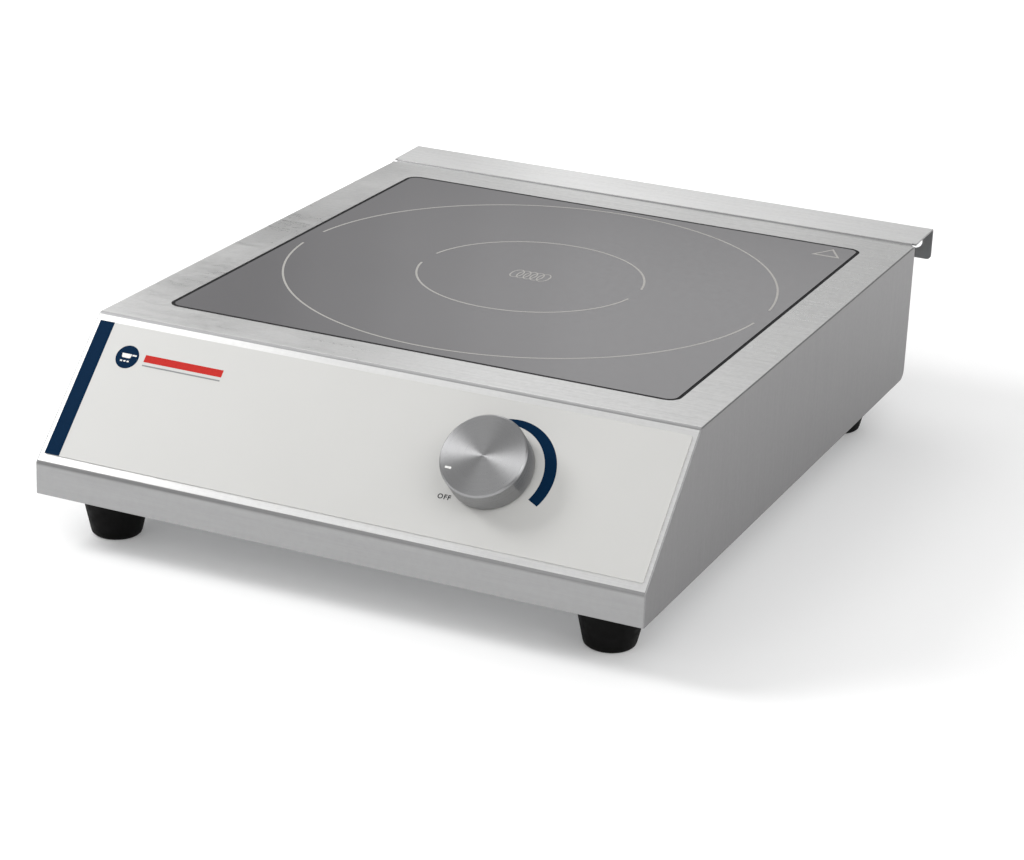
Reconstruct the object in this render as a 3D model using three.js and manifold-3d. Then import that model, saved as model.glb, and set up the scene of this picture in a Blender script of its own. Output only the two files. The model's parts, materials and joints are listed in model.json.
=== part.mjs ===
// Countertop induction hob with one cooking zone: a folded stainless casing over a base tray,
// flush ceramic glass, one rotary power control on the sloping front, and the coil,
// electronics and cooling fan inside.
// Millimetres, +Z up, front towards -Y, origin under the middle of the casing where the feet stand.

import * as THREE from 'three';
import { mergeVertices } from 'three/addons/utils/BufferGeometryUtils.js';
import Module from 'manifold-3d';

const library = await Module();
library.setup();

// ---------------------------------------------------------------- driving dimensions

const WIDTH = 327;            // across the casing
const DEPTH = 425;            // front lip to the face of the rear hook
const FOOT_HEIGHT = 26;       // floor to the casing's bottom edge
const CASE_HEIGHT = 78;       // bottom edge to the top plate
const LIP_HEIGHT = 16.6;      // upright front lip below the slope
const SLOPE_RUN = 60.5;       // how far back the slope reaches
const HOOK_REACH = 34.3;      // rear strip behind the casing
const HOOK_STEP = 1;          // how far that strip is stepped up from the top plate
const HOOK_RISE = 1.7;        // how far its rear edge is above the top plate
const HOOK_DROP = 18.5;       // down-turned lip at its edge
const SHEET = 1;              // stainless sheet
const BEND = 2;               // outer radius of a bend
const GAP = 0.3;              // clearance between touching pieces

const WINDOW = 280.6;         // square window in the top plate
const WINDOW_CORNER = 7;
const FRONT_BORDER = 26.3;    // steel between the slope and the window
const GLASS = 4;              // glass thickness
const SEAL = 1;               // silicone bead round the glass

const COIL_RADIUS = 105;
const COIL_BORE = 30;
const COIL_HEIGHT = 4.2;
const FERRITE_COUNT = 6;

// Edges that follow from them
const HALF = WIDTH / 2;
const FRONT = -DEPTH / 2;
const HOOK = DEPTH / 2;
const REAR = HOOK - HOOK_REACH;
const BOTTOM = FOOT_HEIGHT;
const TOP = BOTTOM + CASE_HEIGHT;
const FOLD = BOTTOM + LIP_HEIGHT;
const SLOPE_ANGLE = Math.atan2(TOP - FOLD, SLOPE_RUN);
const SLOPE_LENGTH = Math.hypot(TOP - FOLD, SLOPE_RUN);
const WINDOW_Y = FRONT + SLOPE_RUN + FRONT_BORDER + WINDOW / 2;
const TRAY_BOTTOM = BOTTOM + SHEET + GAP;
const DECK = TRAY_BOTTOM + SHEET + GAP;   // where inner parts stand
const WALL_Y = REAR - SHEET;              // outer face of the tray's rear wall

// Places shared by more than one piece
const FOOT = {
  x: 135.4, front: FRONT + 30, rear: FRONT + 361,
  topRadius: 18.6, baseRadius: 13.1, recess: 12, recessRadius: 6, hole: 2.6,
};
const HOOK_HOLE = { radius: 4.2, fromSide: 9.8, belowTop: 7 };
const LABEL = { width: 321, height: 76, thick: 0.5, corner: 1, hole: 7.5 };
const KNOB = { across: 70.5, up: 45, radius: 21.6, base: 1.4, top: 15.6, skin: 1.1 };
const BUSHING = { radius: 4.4, bore: 3.25, top: 6 };
const FAN = { x: -95, y: 95, side: 92, corner: 5, height: 25, bore: 43, hub: 18, blades: 7 };
const INTAKE = { rows: 9, pitch: 9, width: 4.4 };
const OUTLET = { columns: 16, pitch: 11, width: 4.4, height: 34, left: -132, belowTop: 38 };
const CONTROL_BACK = -11;                 // back of the control, behind the slope
const BOARD = { left: 8, right: 152, front: -30, rear: 150, thick: 1.6, post: 10 };
const BOARD_TOP = DECK + BOARD.post + GAP + BOARD.thick;
const HEATSINK = { left: 18, right: 68, front: 12, rear: 118, height: 34, fins: 8, fin: 2, back: 6 };
const GLAND = { x: 115, z: 56, hole: 10.3 };
const COIL_Y = WINDOW_Y + 1.3;
const COIL_TOP = TOP - GLASS - 1.4;
const CARRIER = { top: COIL_TOP - COIL_HEIGHT - GAP, thick: 5, radius: 112, ear: 124, bore: 22 };
const CARRIER_BOTTOM = CARRIER.top - CARRIER.thick;
const POST_RADIUS = 118;
const POST_ANGLES = [90, 210, 330];
const BASE_SCREWS = [[-1, -70], [1, -70], [-1, 90], [1, 90]];
const BASE_SCREW_X = HALF - 8;
const REAR_SCREW = { x: HALF - 8, z: TOP - 16 };

// Screws: head radius and height, shank radius and length, and the hole that clears the shank
const SCREWS = {
  foot: { head: 5, headHeight: 3, shank: 2.1, length: 20, hole: 2.5 },
  rear: { head: 3.6, headHeight: 2, shank: 1.9, length: 8, hole: 2.2 },
  base: { head: 3.8, headHeight: 2, shank: 2, length: 7, hole: 2.4 },
};

// ---------------------------------------------------------------- solids

const turn = THREE.MathUtils.degToRad;

// A closed geometry as a manifold solid, with its faces pointing out.
function solid(geometry) {
  const bare = geometry.clone();
  bare.deleteAttribute('normal');
  bare.deleteAttribute('uv');
  const merged = mergeVertices(bare, 1e-4);
  const at = merged.attributes.position;
  const corners = merged.index.array;
  const kept = [];
  let volume = 0;
  const [a, b, c] = [new THREE.Vector3(), new THREE.Vector3(), new THREE.Vector3()];
  for (let i = 0; i < corners.length; i += 3) {
    const [p, q, r] = [corners[i], corners[i + 1], corners[i + 2]];
    if (p === q || q === r || r === p) continue;
    kept.push(p, q, r);
    a.fromBufferAttribute(at, p);
    b.fromBufferAttribute(at, q);
    c.fromBufferAttribute(at, r);
    volume += a.dot(b.cross(c));
  }
  if (volume < 0) kept.reverse();
  return new library.Manifold(new library.Mesh({
    numProp: 3,
    vertProperties: new Float32Array(at.array),
    triVerts: new Uint32Array(kept),
  }));
}

function join(...pieces) {
  return pieces.reduce((whole, piece) => whole.add(piece));
}

function cut(body, ...tools) {
  return tools.reduce((rest, tool) => rest.subtract(tool), body);
}

function block(x0, x1, y0, y1, z0, z1) {
  const box = new THREE.BoxGeometry(x1 - x0, y1 - y0, z1 - z0);
  return solid(box.translate((x0 + x1) / 2, (y0 + y1) / 2, (z0 + z1) / 2));
}

// A turned piece about Z, from [radius, z] points.
function turned(profile, sides = 24) {
  const points = profile.map(([radius, z]) => new THREE.Vector2(radius, z));
  return new THREE.LatheGeometry(points, sides).rotateX(Math.PI / 2);
}

function rod(radius, z0, z1, x = 0, y = 0, sides = 16) {
  const profile = [[0, z0], [radius, z0], [radius, z1], [0, z1]];
  return solid(turned(profile, sides).translate(x, y, 0));
}

function ring(inner, outer, z0, z1, sides = 40) {
  const profile = [[inner, z0], [outer, z0], [outer, z1], [inner, z1], [inner, z0]];
  return solid(turned(profile, sides));
}

// A hole through an upright wall at a place, along Y.
function holeAlongY(radius, reach, { x, y, z }, sides = 12) {
  const hole = turned([[0, -reach], [radius, -reach], [radius, reach], [0, reach]], sides);
  return solid(stood(hole.rotateX(Math.PI / 2), { x, y, z }));
}

// A flat outline in XY, raised from z0 to z1.
function prism(outline, z0, z1) {
  const shape = new THREE.Shape(outline.map(([x, y]) => new THREE.Vector2(x, y)));
  const geometry = new THREE.ExtrudeGeometry(shape, { depth: z1 - z0, bevelEnabled: false });
  return geometry.translate(0, 0, z0);
}

// An outline in YZ, swept from x0 to x1.
function alongX(outline, x0, x1) {
  const yToX = new THREE.Matrix4().makeBasis(
    new THREE.Vector3(0, 1, 0), new THREE.Vector3(0, 0, 1), new THREE.Vector3(1, 0, 0));
  return prism(outline, x0, x1).applyMatrix4(yToX);
}

// An outline in XZ, swept from y0 to y1.
function alongY(outline, y0, y1) {
  return prism(outline, -y1, -y0).rotateX(Math.PI / 2);
}

// Corner points replaced by arcs; a radius of 0 keeps the corner.
function rounded(corners, radii, steps = 4) {
  const outline = [];
  corners.forEach((corner, i) => {
    const radius = Array.isArray(radii) ? radii[i] : radii;
    const here = new THREE.Vector2(...corner);
    const before = new THREE.Vector2(...corners.at(i - 1)).sub(here).normalize();
    const after = new THREE.Vector2(...corners[(i + 1) % corners.length]).sub(here).normalize();
    if (!radius) {
      outline.push(corner);
      return;
    }
    const half = before.angleTo(after) / 2;
    const middle = before.clone().add(after).normalize();
    const centre = here.clone().addScaledVector(middle, radius / Math.sin(half));
    const start = here.clone().addScaledVector(before, radius / Math.tan(half)).sub(centre);
    const end = here.clone().addScaledVector(after, radius / Math.tan(half)).sub(centre);
    const sweep = Math.atan2(start.cross(end), start.dot(end));
    for (let step = 0; step <= steps; step += 1) {
      const point = start.clone().rotateAround(new THREE.Vector2(), (sweep * step) / steps);
      outline.push([centre.x + point.x, centre.y + point.y]);
    }
  });
  return outline;
}

function roundedRectangle(width, height, radius, x = 0, y = 0, steps = 4) {
  const [w, h] = [width / 2, height / 2];
  const corners = [[x - w, y - h], [x + w, y - h], [x + w, y + h], [x - w, y + h]];
  return rounded(corners, radius, steps);
}

// The two faces of a bent sheet: the path is its outer face, and the sheet lies to the path's right.
function bentFaces(path, thickness, radii, steps = 4) {
  const points = path.map((point) => new THREE.Vector2(...point));
  const outer = [];
  const inner = [];
  const place = (centre, normal, outerReach, innerReach) => {
    outer.push([centre.x + normal.x * outerReach, centre.y + normal.y * outerReach]);
    inner.push([centre.x + normal.x * innerReach, centre.y + normal.y * innerReach]);
  };
  const normals = points.slice(1).map((point, i) => {
    const along = point.clone().sub(points[i]).normalize();
    return new THREE.Vector2(along.y, -along.x);
  });
  place(points[0], normals[0], 0, thickness);
  for (let i = 1; i < points.length - 1; i += 1) {
    const [n0, n1] = [normals[i - 1], normals[i]];
    const bisector = n0.clone().add(n1).divideScalar(1 + n0.dot(n1));
    const sweep = Math.atan2(n0.cross(n1), n0.dot(n1));
    const radius = radii[i - 1];
    if (!radius) {
      place(points[i], bisector, 0, thickness);
      continue;
    }
    const centre = points[i].clone().addScaledVector(bisector, radius);
    for (let step = 0; step <= steps; step += 1) {
      const normal = n0.clone().rotateAround(new THREE.Vector2(), (sweep * step) / steps);
      place(centre, normal, -radius, thickness - radius);
    }
  }
  place(points.at(-1), normals.at(-1), 0, thickness);
  return { outer, inner };
}

function bentSheet(path, thickness, radii, steps = 4) {
  const { outer, inner } = bentFaces(path, thickness, radii, steps);
  return outer.concat(inner.reverse());
}

// A slot with round ends, as an outline.
function slot(width, height, x, y) {
  return roundedRectangle(width, height, Math.min(width, height) / 2 - 0.01, x, y, 2);
}

function stood(geometry, { x = 0, y = 0, z = 0 }) {
  return geometry.translate(x, y, z);
}

// ---------------------------------------------------------------- the sloping front's own frame
// Its x runs across, its y up the slope from the lower fold, its z out of the slope.

const slopeMatrix = new THREE.Matrix4().makeRotationX(SLOPE_ANGLE).setPosition(0, FRONT, FOLD);

function onSlope(across, up, out) {
  return new THREE.Vector3(across, up, out).applyMatrix4(slopeMatrix);
}

// ---------------------------------------------------------------- materials

function finish(color, roughness, metalness) {
  return new THREE.MeshStandardMaterial({ color, roughness, metalness });
}

const steel = () => finish(0xb9bbbd, 0.38, 1);
const galvanised = () => finish(0x9fa3a6, 0.5, 1);
const zinc = () => finish(0xc4c6c8, 0.35, 1);
const blackPlastic = () => finish(0x1b1b1c, 0.55, 0);
const epoxyBoard = () => finish(0x2f5b3a, 0.6, 0);

// ---------------------------------------------------------------- assembly

const hob = new THREE.Group();
const slope = new THREE.Group();
slope.applyMatrix4(slopeMatrix);
hob.add(slope);

function add(name, shape, material, parent = hob) {
  let geometry = shape;
  if (!shape.isBufferGeometry) {
    const { numProp, vertProperties, triVerts } = shape.getMesh();
    geometry = new THREE.BufferGeometry();
    geometry.setAttribute('position', new THREE.BufferAttribute(vertProperties, numProp));
    geometry.setIndex(new THREE.BufferAttribute(triVerts, 1));
  }
  const mesh = new THREE.Mesh(geometry, material);
  mesh.name = name;
  parent.add(mesh);
}

// ---------------------------------------------------------------- casing

const FLANGE = 12;            // width of the shell's inward flanges
const FLANGE_REACH = 100;     // half length of the bottom flanges, which stop short of the feet

// The casing's own outline seen from the side, and the hollow inside its sheet.
function sideOutlines() {
  const heel = REAR - 0.5;
  const path = [[FRONT, BOTTOM], [FRONT, FOLD], [FRONT + SLOPE_RUN, TOP], [heel, TOP]];
  const { outer, inner } = bentFaces(path, SHEET, [BEND, BEND]);
  const heelArc = rounded([[heel, TOP], [heel, BOTTOM], [FRONT, BOTTOM]], [0, 6, 0]).slice(1, -1);
  const past = 5;
  const hollow = inner.slice(1, -1);
  hollow.unshift([inner[0][0], BOTTOM - past]);
  hollow.push([REAR + past, TOP - SHEET], [REAR + past, BOTTOM - past]);
  return { outside: [...outer, ...heelArc], hollow };
}

// The strip behind the casing, stepped up where it starts and bent down at its edge.
function rearHook() {
  const stepRun = 0.6;
  const edge = TOP + HOOK_RISE;
  const step = [REAR + stepRun, TOP + HOOK_STEP];
  const path = [[REAR - 3, TOP], [REAR, TOP], step, [HOOK, edge], [HOOK, edge - HOOK_DROP]];
  return solid(alongX(bentSheet(path, SHEET, [0, 0, BEND]), -HALF, HALF));
}

function housingShell() {
  const { outside, hollow } = sideOutlines();
  const innerHalf = HALF - SHEET;
  const casing = cut(solid(alongX(outside, -HALF, HALF)), solid(alongX(hollow, -innerHalf, innerHalf)));
  const rearFlangeY = WALL_Y - SHEET - GAP;
  const inWall = SHEET / 2;
  const flanges = [-1, 1].flatMap((hand) => {
    const [x0, x1] = [hand * (HALF - inWall), hand * (HALF - FLANGE)].sort((a, b) => a - b);
    return [
      block(x0, x1, -FLANGE_REACH, FLANGE_REACH, BOTTOM, BOTTOM + SHEET),
      block(x0, x1, rearFlangeY - SHEET, rearFlangeY, BOTTOM + 20, TOP - 4),
    ];
  });
  flanges.push(block(-FLANGE_REACH, FLANGE_REACH, FRONT + inWall, FRONT + FLANGE, BOTTOM, BOTTOM + SHEET));
  const window = solid(prism(roundedRectangle(WINDOW, WINDOW, WINDOW_CORNER, 0, WINDOW_Y), TOP - 5, TOP + 5));
  const hookHoles = [-1, 1].map((hand) => {
    const spot = { x: hand * (HALF - HOOK_HOLE.fromSide), y: HOOK, z: TOP - HOOK_HOLE.belowTop };
    return holeAlongY(HOOK_HOLE.radius, 5, spot, 20);
  });
  const shaftRadius = BUSHING.radius + 0.4;
  const shaftHole = turned([[0, -4], [shaftRadius, -4], [shaftRadius, 4], [0, 4]], 20);
  const shaft = solid(shaftHole.translate(KNOB.across, KNOB.up, 0).applyMatrix4(slopeMatrix));
  const screwHoles = BASE_SCREWS.map(([hand, y]) => rod(SCREWS.base.hole, BOTTOM - 1, BOTTOM + 3,
    hand * BASE_SCREW_X, y, 12));
  const rearHoles = [-1, 1].map((hand) => holeAlongY(SCREWS.rear.hole, 3,
    { x: hand * REAR_SCREW.x, y: rearFlangeY, z: REAR_SCREW.z }));
  const shell = join(casing, rearHook(), ...flanges);
  return cut(shell, window, ...hookHoles, shaft, ...screwHoles, ...rearHoles);
}

// Parallel slots inside a circle, the air intake below the fan.
function intakeSlots() {
  const reach = FAN.bore - 3;
  const slots = [];
  for (let row = 0; row < INTAKE.rows; row += 1) {
    const aside = (row - (INTAKE.rows - 1) / 2) * INTAKE.pitch;
    const length = 2 * Math.sqrt(reach ** 2 - aside ** 2);
    const outline = slot(length, INTAKE.width, FAN.x, FAN.y + aside);
    slots.push(solid(prism(outline, TRAY_BOTTOM - 1, TRAY_BOTTOM + 3)));
  }
  return slots;
}

// One bank of upright slots in the rear wall, where the warm air leaves.
function outletSlots() {
  const slots = [];
  for (let column = 0; column < OUTLET.columns; column += 1) {
    const x = OUTLET.left + column * OUTLET.pitch;
    const outline = slot(OUTLET.width, OUTLET.height, x, TOP - OUTLET.belowTop);
    slots.push(solid(alongY(outline, WALL_Y - 3, WALL_Y + 1)));
  }
  return slots;
}

function baseTray() {
  const path = [[WALL_Y, TOP - SHEET - GAP], [WALL_Y, TRAY_BOTTOM], [FRONT + SHEET + GAP, TRAY_BOTTOM]];
  const halfWidth = HALF - SHEET - GAP;
  const tray = solid(alongX(bentSheet(path, SHEET, [6], 5), -halfWidth, halfWidth));
  const [low, high] = [TRAY_BOTTOM - 1, TRAY_BOTTOM + 3];
  const holes = BASE_SCREWS.map(([hand, y]) => rod(SCREWS.base.hole, low, high, hand * BASE_SCREW_X, y, 12));
  for (const hand of [-1, 1]) {
    holes.push(rod(SCREWS.foot.hole, low, high, hand * FOOT.x, FOOT.front, 12));
    holes.push(rod(SCREWS.foot.hole, low, high, hand * FOOT.x, FOOT.rear, 12));
    holes.push(holeAlongY(SCREWS.rear.hole, 3, { x: hand * REAR_SCREW.x, y: WALL_Y, z: REAR_SCREW.z }));
  }
  holes.push(holeAlongY(GLAND.hole, 3, { x: GLAND.x, y: WALL_Y, z: GLAND.z }, 24));
  return cut(tray, ...holes, ...intakeSlots(), ...outletSlots());
}

function squareRing(inner, outer, z0, z1, innerCorner = 0, outerCorner = 0) {
  const outside = prism(roundedRectangle(outer, outer, outerCorner, 0, WINDOW_Y), z0, z1);
  const inside = prism(roundedRectangle(inner, inner, innerCorner, 0, WINDOW_Y), z0 - 1, z1 + 1);
  return cut(solid(outside), solid(inside));
}

// The frame below the window: a flange under the top plate, a step, and a ledge for the glass.
function glassFrame() {
  const ledgeTop = TOP - GLASS - GAP;
  const flangeTop = TOP - SHEET - GAP;
  const [stepInner, stepOuter] = [WINDOW + 2.4, WINDOW + 4.4];
  const [ledgeInner, flangeOuter] = [WINDOW - 20, WINDOW + 24];
  return join(
    squareRing(stepInner, flangeOuter, flangeTop - SHEET, flangeTop),
    squareRing(stepInner, stepOuter, ledgeTop - SHEET, flangeTop),
    squareRing(ledgeInner, stepOuter, ledgeTop - SHEET, ledgeTop),
  );
}

function glassPlate() {
  const side = WINDOW - 2 * (SEAL + 2 * GAP);
  const corner = WINDOW_CORNER - SEAL - 2 * GAP;
  return prism(roundedRectangle(side, side, corner, 0, WINDOW_Y), TOP - GLASS, TOP);
}

function glassSeal() {
  const outer = WINDOW - 2 * GAP;
  const inner = outer - 2 * SEAL;
  return squareRing(inner, outer, TOP - 3, TOP - GAP, WINDOW_CORNER - SEAL - GAP, WINDOW_CORNER - GAP);
}

// The printed overlay on the slope, with a hole for the control's bushing.
function frontLabel() {
  const outline = roundedRectangle(LABEL.width, LABEL.height, LABEL.corner, 0, SLOPE_LENGTH / 2 + GAP, 2);
  return cut(solid(prism(outline, GAP, GAP + LABEL.thick)), rod(LABEL.hole, -1, 2, KNOB.across, KNOB.up, 24));
}

add('housing_shell', housingShell(), steel());
add('base_tray', baseTray(), galvanised());
add('glass_frame', glassFrame(), galvanised());
add('glass_plate', glassPlate(), finish(0x3a3b3d, 0.12, 0));
add('glass_seal', glassSeal(), finish(0x0c0c0c, 0.6, 0));
add('front_label', frontLabel(), finish(0xdededc, 0.45, 0), slope);

// ---------------------------------------------------------------- feet and screws

// A tapered rubber foot with a recess for its screw.
function foot() {
  const top = TRAY_BOTTOM - GAP;
  const { topRadius, baseRadius, recess, recessRadius, hole } = FOOT;
  return turned([
    [hole, top], [hole, recess], [recessRadius, recess], [recessRadius, 0],
    [baseRadius - 1.6, 0], [baseRadius - 0.4, 0.5], [baseRadius, 1.8],
    [topRadius, top], [hole, top],
  ], 20);
}

// A pan-head screw standing on its head at z = 0, its shank pointing up.
function screw({ head, headHeight, shank, length }) {
  return turned([
    [0, 0], [head * 0.7, 0], [head, headHeight * 0.45], [head, headHeight],
    [shank, headHeight], [shank, headHeight + length], [0, headHeight + length],
  ], 10);
}

for (const [sideName, hand] of [['left', -1], ['right', 1]]) {
  for (const [endName, y] of [['front', FOOT.front], ['rear', FOOT.rear]]) {
    const spot = { x: hand * FOOT.x, y };
    add(`foot_${endName}_${sideName}`, stood(foot(), spot), finish(0x121212, 0.8, 0));
    const screwBase = FOOT.recess - GAP - SCREWS.foot.headHeight;
    add(`foot_screw_${endName}_${sideName}`, stood(screw(SCREWS.foot), { ...spot, z: screwBase }), zinc());
  }
  const rearScrew = screw(SCREWS.rear).rotateX(Math.PI / 2);
  const rearSpot = { x: hand * REAR_SCREW.x, y: WALL_Y + GAP + SCREWS.rear.headHeight, z: REAR_SCREW.z };
  add(`rear_screw_${sideName}`, stood(rearScrew, rearSpot), zinc());
}

BASE_SCREWS.forEach(([hand, y], i) => {
  const spot = { x: hand * BASE_SCREW_X, y, z: BOTTOM - GAP - SCREWS.base.headHeight };
  add(`base_screw_${i + 1}`, stood(screw(SCREWS.base), spot), zinc());
});

// ---------------------------------------------------------------- power control on the slope

// Printed dash on the knob's face: where it sits when the control is off.
const POINTER = { across: -14.65, up: -9.35, length: 3.3, width: 1.1, depth: 0.5 };

function knobCap() {
  const { radius, base, top, skin } = KNOB;
  const cap = solid(turned([
    [radius - skin, base], [radius - 0.4, base], [radius, base + 0.4], [radius, top - 0.9],
    [radius - 0.9, top], [0, top], [0, top - skin], [radius - skin, top - skin], [radius - skin, base],
  ], 40));
  const recess = roundedRectangle(POINTER.length + 2 * GAP, POINTER.width + 2 * GAP, 0.5,
    POINTER.across, POINTER.up, 2);
  return cut(cap, solid(prism(recess, top - POINTER.depth - GAP, top + 1)));
}

function knobCore() {
  const top = KNOB.top - KNOB.skin - GAP;
  const radius = KNOB.radius - KNOB.skin - GAP;
  const [cavity, cavityTop, boreTop] = [9.2, 7, 13];
  return turned([
    [0, boreTop], [BUSHING.bore, boreTop], [BUSHING.bore, cavityTop], [cavity, cavityTop],
    [cavity, KNOB.base + GAP], [radius, KNOB.base + GAP], [radius, top], [0, top],
  ], 24);
}

function knobPointer() {
  const outline = roundedRectangle(POINTER.length, POINTER.width, 0.4, POINTER.across, POINTER.up, 2);
  return prism(outline, KNOB.top - POINTER.depth, KNOB.top);
}

// The turning shaft, flattened where it drives the knob.
function knobShaft() {
  const radius = BUSHING.bore - GAP;
  const flat = block(radius - 0.7, radius + 1, -4, 4, BUSHING.top + GAP, 14);
  return cut(rod(radius, -4, 12.7, 0, 0, 20), flat);
}

function potentiometerBody() {
  const back = CONTROL_BACK;
  const top = -SHEET - GAP;
  const body = join(rod(8.5, back, top, 0, 0, 24), rod(BUSHING.radius, top - 1, BUSHING.top, 0, 0, 24));
  const legs = [-5, 0, 5].map((x) => block(x - 0.6, x + 0.6, -11, -7, back + 1.2, back + 2));
  return cut(join(body, ...legs), rod(BUSHING.bore, -4 - GAP, BUSHING.top + 1, 0, 0, 20));
}

function potentiometerNut() {
  const hexagon = turned([[0, 1.1], [6.9, 1.1], [6.9, 3.3], [0, 3.3]], 6);
  return cut(solid(hexagon), rod(BUSHING.radius + GAP, 0, 5, 0, 0, 20));
}

function controlBoard() {
  const front = CONTROL_BACK - GAP;
  const board = block(-55, 52, -27, 24, front - 1.6, front);
  const chip = block(-46, -30, -10, 6, front - 4, front - 1);
  const plug = block(-20, -4, -22, -14, front - 8, front - 1);
  return join(board, chip, plug);
}

const control = new THREE.Group();
control.position.set(KNOB.across, KNOB.up, 0);
slope.add(control);
add('knob_cap', knobCap(), finish(0xb4b5b7, 0.3, 1), control);
add('knob_core', knobCore(), blackPlastic(), control);
add('knob_pointer', knobPointer(), finish(0xf2f2f0, 0.5, 0), control);
add('knob_shaft', knobShaft(), finish(0xc8b273, 0.35, 1), control);
add('potentiometer_body', potentiometerBody(), galvanised(), control);
add('potentiometer_nut', potentiometerNut(), zinc(), control);
add('control_board', controlBoard(), epoxyBoard(), control);

// ---------------------------------------------------------------- coil

function coilCarrier() {
  const { top, radius, ear, bore } = CARRIER;
  const low = CARRIER_BOTTOM;
  const rims = [ring(radius - 12, radius, low, top, 32), ring(bore, bore + 12, low, top, 20)];
  const spokes = [];
  for (let i = 0; i < FERRITE_COUNT; i += 1) {
    const spoke = new THREE.BoxGeometry(radius - bore - 10, 18, CARRIER.thick);
    spoke.translate((radius + bore) / 2, 0, (low + top) / 2);
    spokes.push(solid(spoke.rotateZ(turn((i * 360) / FERRITE_COUNT))));
  }
  const ears = POST_ANGLES.map((angle) => {
    const length = ear - radius + 4;
    const tab = new THREE.BoxGeometry(length, 16, CARRIER.thick);
    return solid(tab.translate(ear - length / 2, 0, (low + top) / 2).rotateZ(turn(angle)));
  });
  const sensorBar = block(-bore - 4, bore + 4, 4.6, 9.6, low, top);
  return join(...rims, ...spokes, ...ears, sensorBar).translate([0, COIL_Y, 0]);
}

function coilWinding() {
  return ring(COIL_BORE, COIL_RADIUS, COIL_TOP - COIL_HEIGHT, COIL_TOP, 36).translate([0, COIL_Y, 0]);
}

add('coil_winding', coilWinding(), finish(0xb46a3a, 0.45, 0.8));
add('coil_carrier', coilCarrier(), finish(0xe5e0d2, 0.7, 0));
for (let i = 0; i < FERRITE_COUNT; i += 1) {
  const bar = new THREE.BoxGeometry(60, 14, 5);
  bar.translate(67, 0, CARRIER_BOTTOM - GAP - 2.5).rotateZ(turn((i * 360) / FERRITE_COUNT));
  add(`ferrite_bar_${i + 1}`, bar.translate(0, COIL_Y, 0), finish(0x2b2b2d, 0.7, 0.2));
}
const micaTop = TOP - GLASS - 0.5;
add('mica_sheet', stood(turned([[0, micaTop - 0.5], [108, micaTop - 0.5], [108, micaTop], [0, micaTop]], 32),
  { y: COIL_Y }), finish(0xc9b48a, 0.5, 0));
const sensor = turned([[0, 87], [4, 87], [4, micaTop - 0.5 - GAP], [0, micaTop - 0.5 - GAP]], 16);
add('temperature_sensor', stood(sensor, { y: COIL_Y }), finish(0xd9d4c4, 0.6, 0));
POST_ANGLES.forEach((angle, i) => {
  const [x, y] = [POST_RADIUS * Math.cos(turn(angle)), COIL_Y + POST_RADIUS * Math.sin(turn(angle))];
  const post = turned([[0, DECK], [6, DECK], [6, DECK + 3], [4, DECK + 6], [4, CARRIER_BOTTOM - GAP],
    [0, CARRIER_BOTTOM - GAP]], 12);
  add(`coil_post_${i + 1}`, stood(post, { x, y }), blackPlastic());
});

// ---------------------------------------------------------------- power electronics

function heatsink() {
  const { left, right, front, rear, height, fins, fin, back } = HEATSINK;
  const [low, high] = [BOARD_TOP + GAP, BOARD_TOP + height];
  const pitch = (high - low - fin) / (fins - 1);
  const outline = [[right, low], [right, high]];
  for (let i = fins - 1; i >= 0; i -= 1) {
    const z = low + i * pitch;
    outline.push([left, z + fin], [left, z]);
    if (i > 0) outline.push([right - back, z], [right - back, z - pitch + fin]);
  }
  return alongY(outline, front, rear);
}

// A flat power package against the heatsink, its legs reaching down to the board.
function powerPackage(y0, y1, legs) {
  const [x0, low] = [HEATSINK.right + GAP, BOARD_TOP + GAP];
  const body = block(x0, x0 + 5, y0, y1, low + 6, low + 26);
  const pitch = (y1 - y0) / legs;
  const pins = Array.from({ length: legs }, (_, i) => {
    const y = y0 + (i + 0.5) * pitch;
    return block(x0 + 2, x0 + 2.8, y - 0.6, y + 0.6, low, low + 7);
  });
  return join(body, ...pins);
}

function terminalBlock() {
  const low = BOARD_TOP + GAP;
  const body = block(98, 134, 126, 142, low, low + 14);
  const wells = [104, 116, 128].flatMap((x) => [
    rod(3, low + 8, low + 20, x, 134, 10),
    block(x - 3, x + 3, 136, 144, low + 2, low + 7),
  ]);
  return cut(body, ...wells);
}

function choke() {
  const wound = new THREE.TorusGeometry(13, 6, 8, 18);
  return wound.translate(118, 0, BOARD_TOP + GAP + 6);
}

function fuse() {
  const profile = [[0, 0], [2.7, 0], [2.7, 5], [2.3, 5], [2.3, 16], [2.7, 16], [2.7, 21], [0, 21]];
  return stood(turned(profile, 12).rotateX(-Math.PI / 2), { x: 141, y: 50, z: BOARD_TOP + 4 });
}

const capacitor = (x0, y0, depth, height) => prism(roundedRectangle(32, depth, 1.5, x0 + 16, y0, 2),
  BOARD_TOP + GAP, BOARD_TOP + GAP + height);

add('power_board', block(BOARD.left, BOARD.right, BOARD.front, BOARD.rear, BOARD_TOP - BOARD.thick, BOARD_TOP),
  epoxyBoard());
[[14, -24], [146, -24], [14, 144], [146, 144]].forEach(([x, y], i) => {
  const post = turned([[0, DECK], [3.5, DECK], [3.5, DECK + BOARD.post], [0, DECK + BOARD.post]], 12);
  add(`board_post_${i + 1}`, stood(post, { x, y }), finish(0xe8e8e4, 0.6, 0));
});
add('heatsink', heatsink(), finish(0xa9acb0, 0.45, 1));
add('power_transistor', powerPackage(30, 46, 3), blackPlastic());
add('bridge_rectifier', powerPackage(70, 100, 4), blackPlastic());
add('filter_capacitor', capacitor(95, 105, 20, 32), finish(0x9c9a92, 0.5, 0));
add('resonant_capacitor', capacitor(95, 70, 18, 30), finish(0xb8b5ab, 0.5, 0));
add('choke', choke(), finish(0xa85f33, 0.45, 0.7));
add('terminal_block', terminalBlock(), finish(0xd8d8d2, 0.6, 0));
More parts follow.
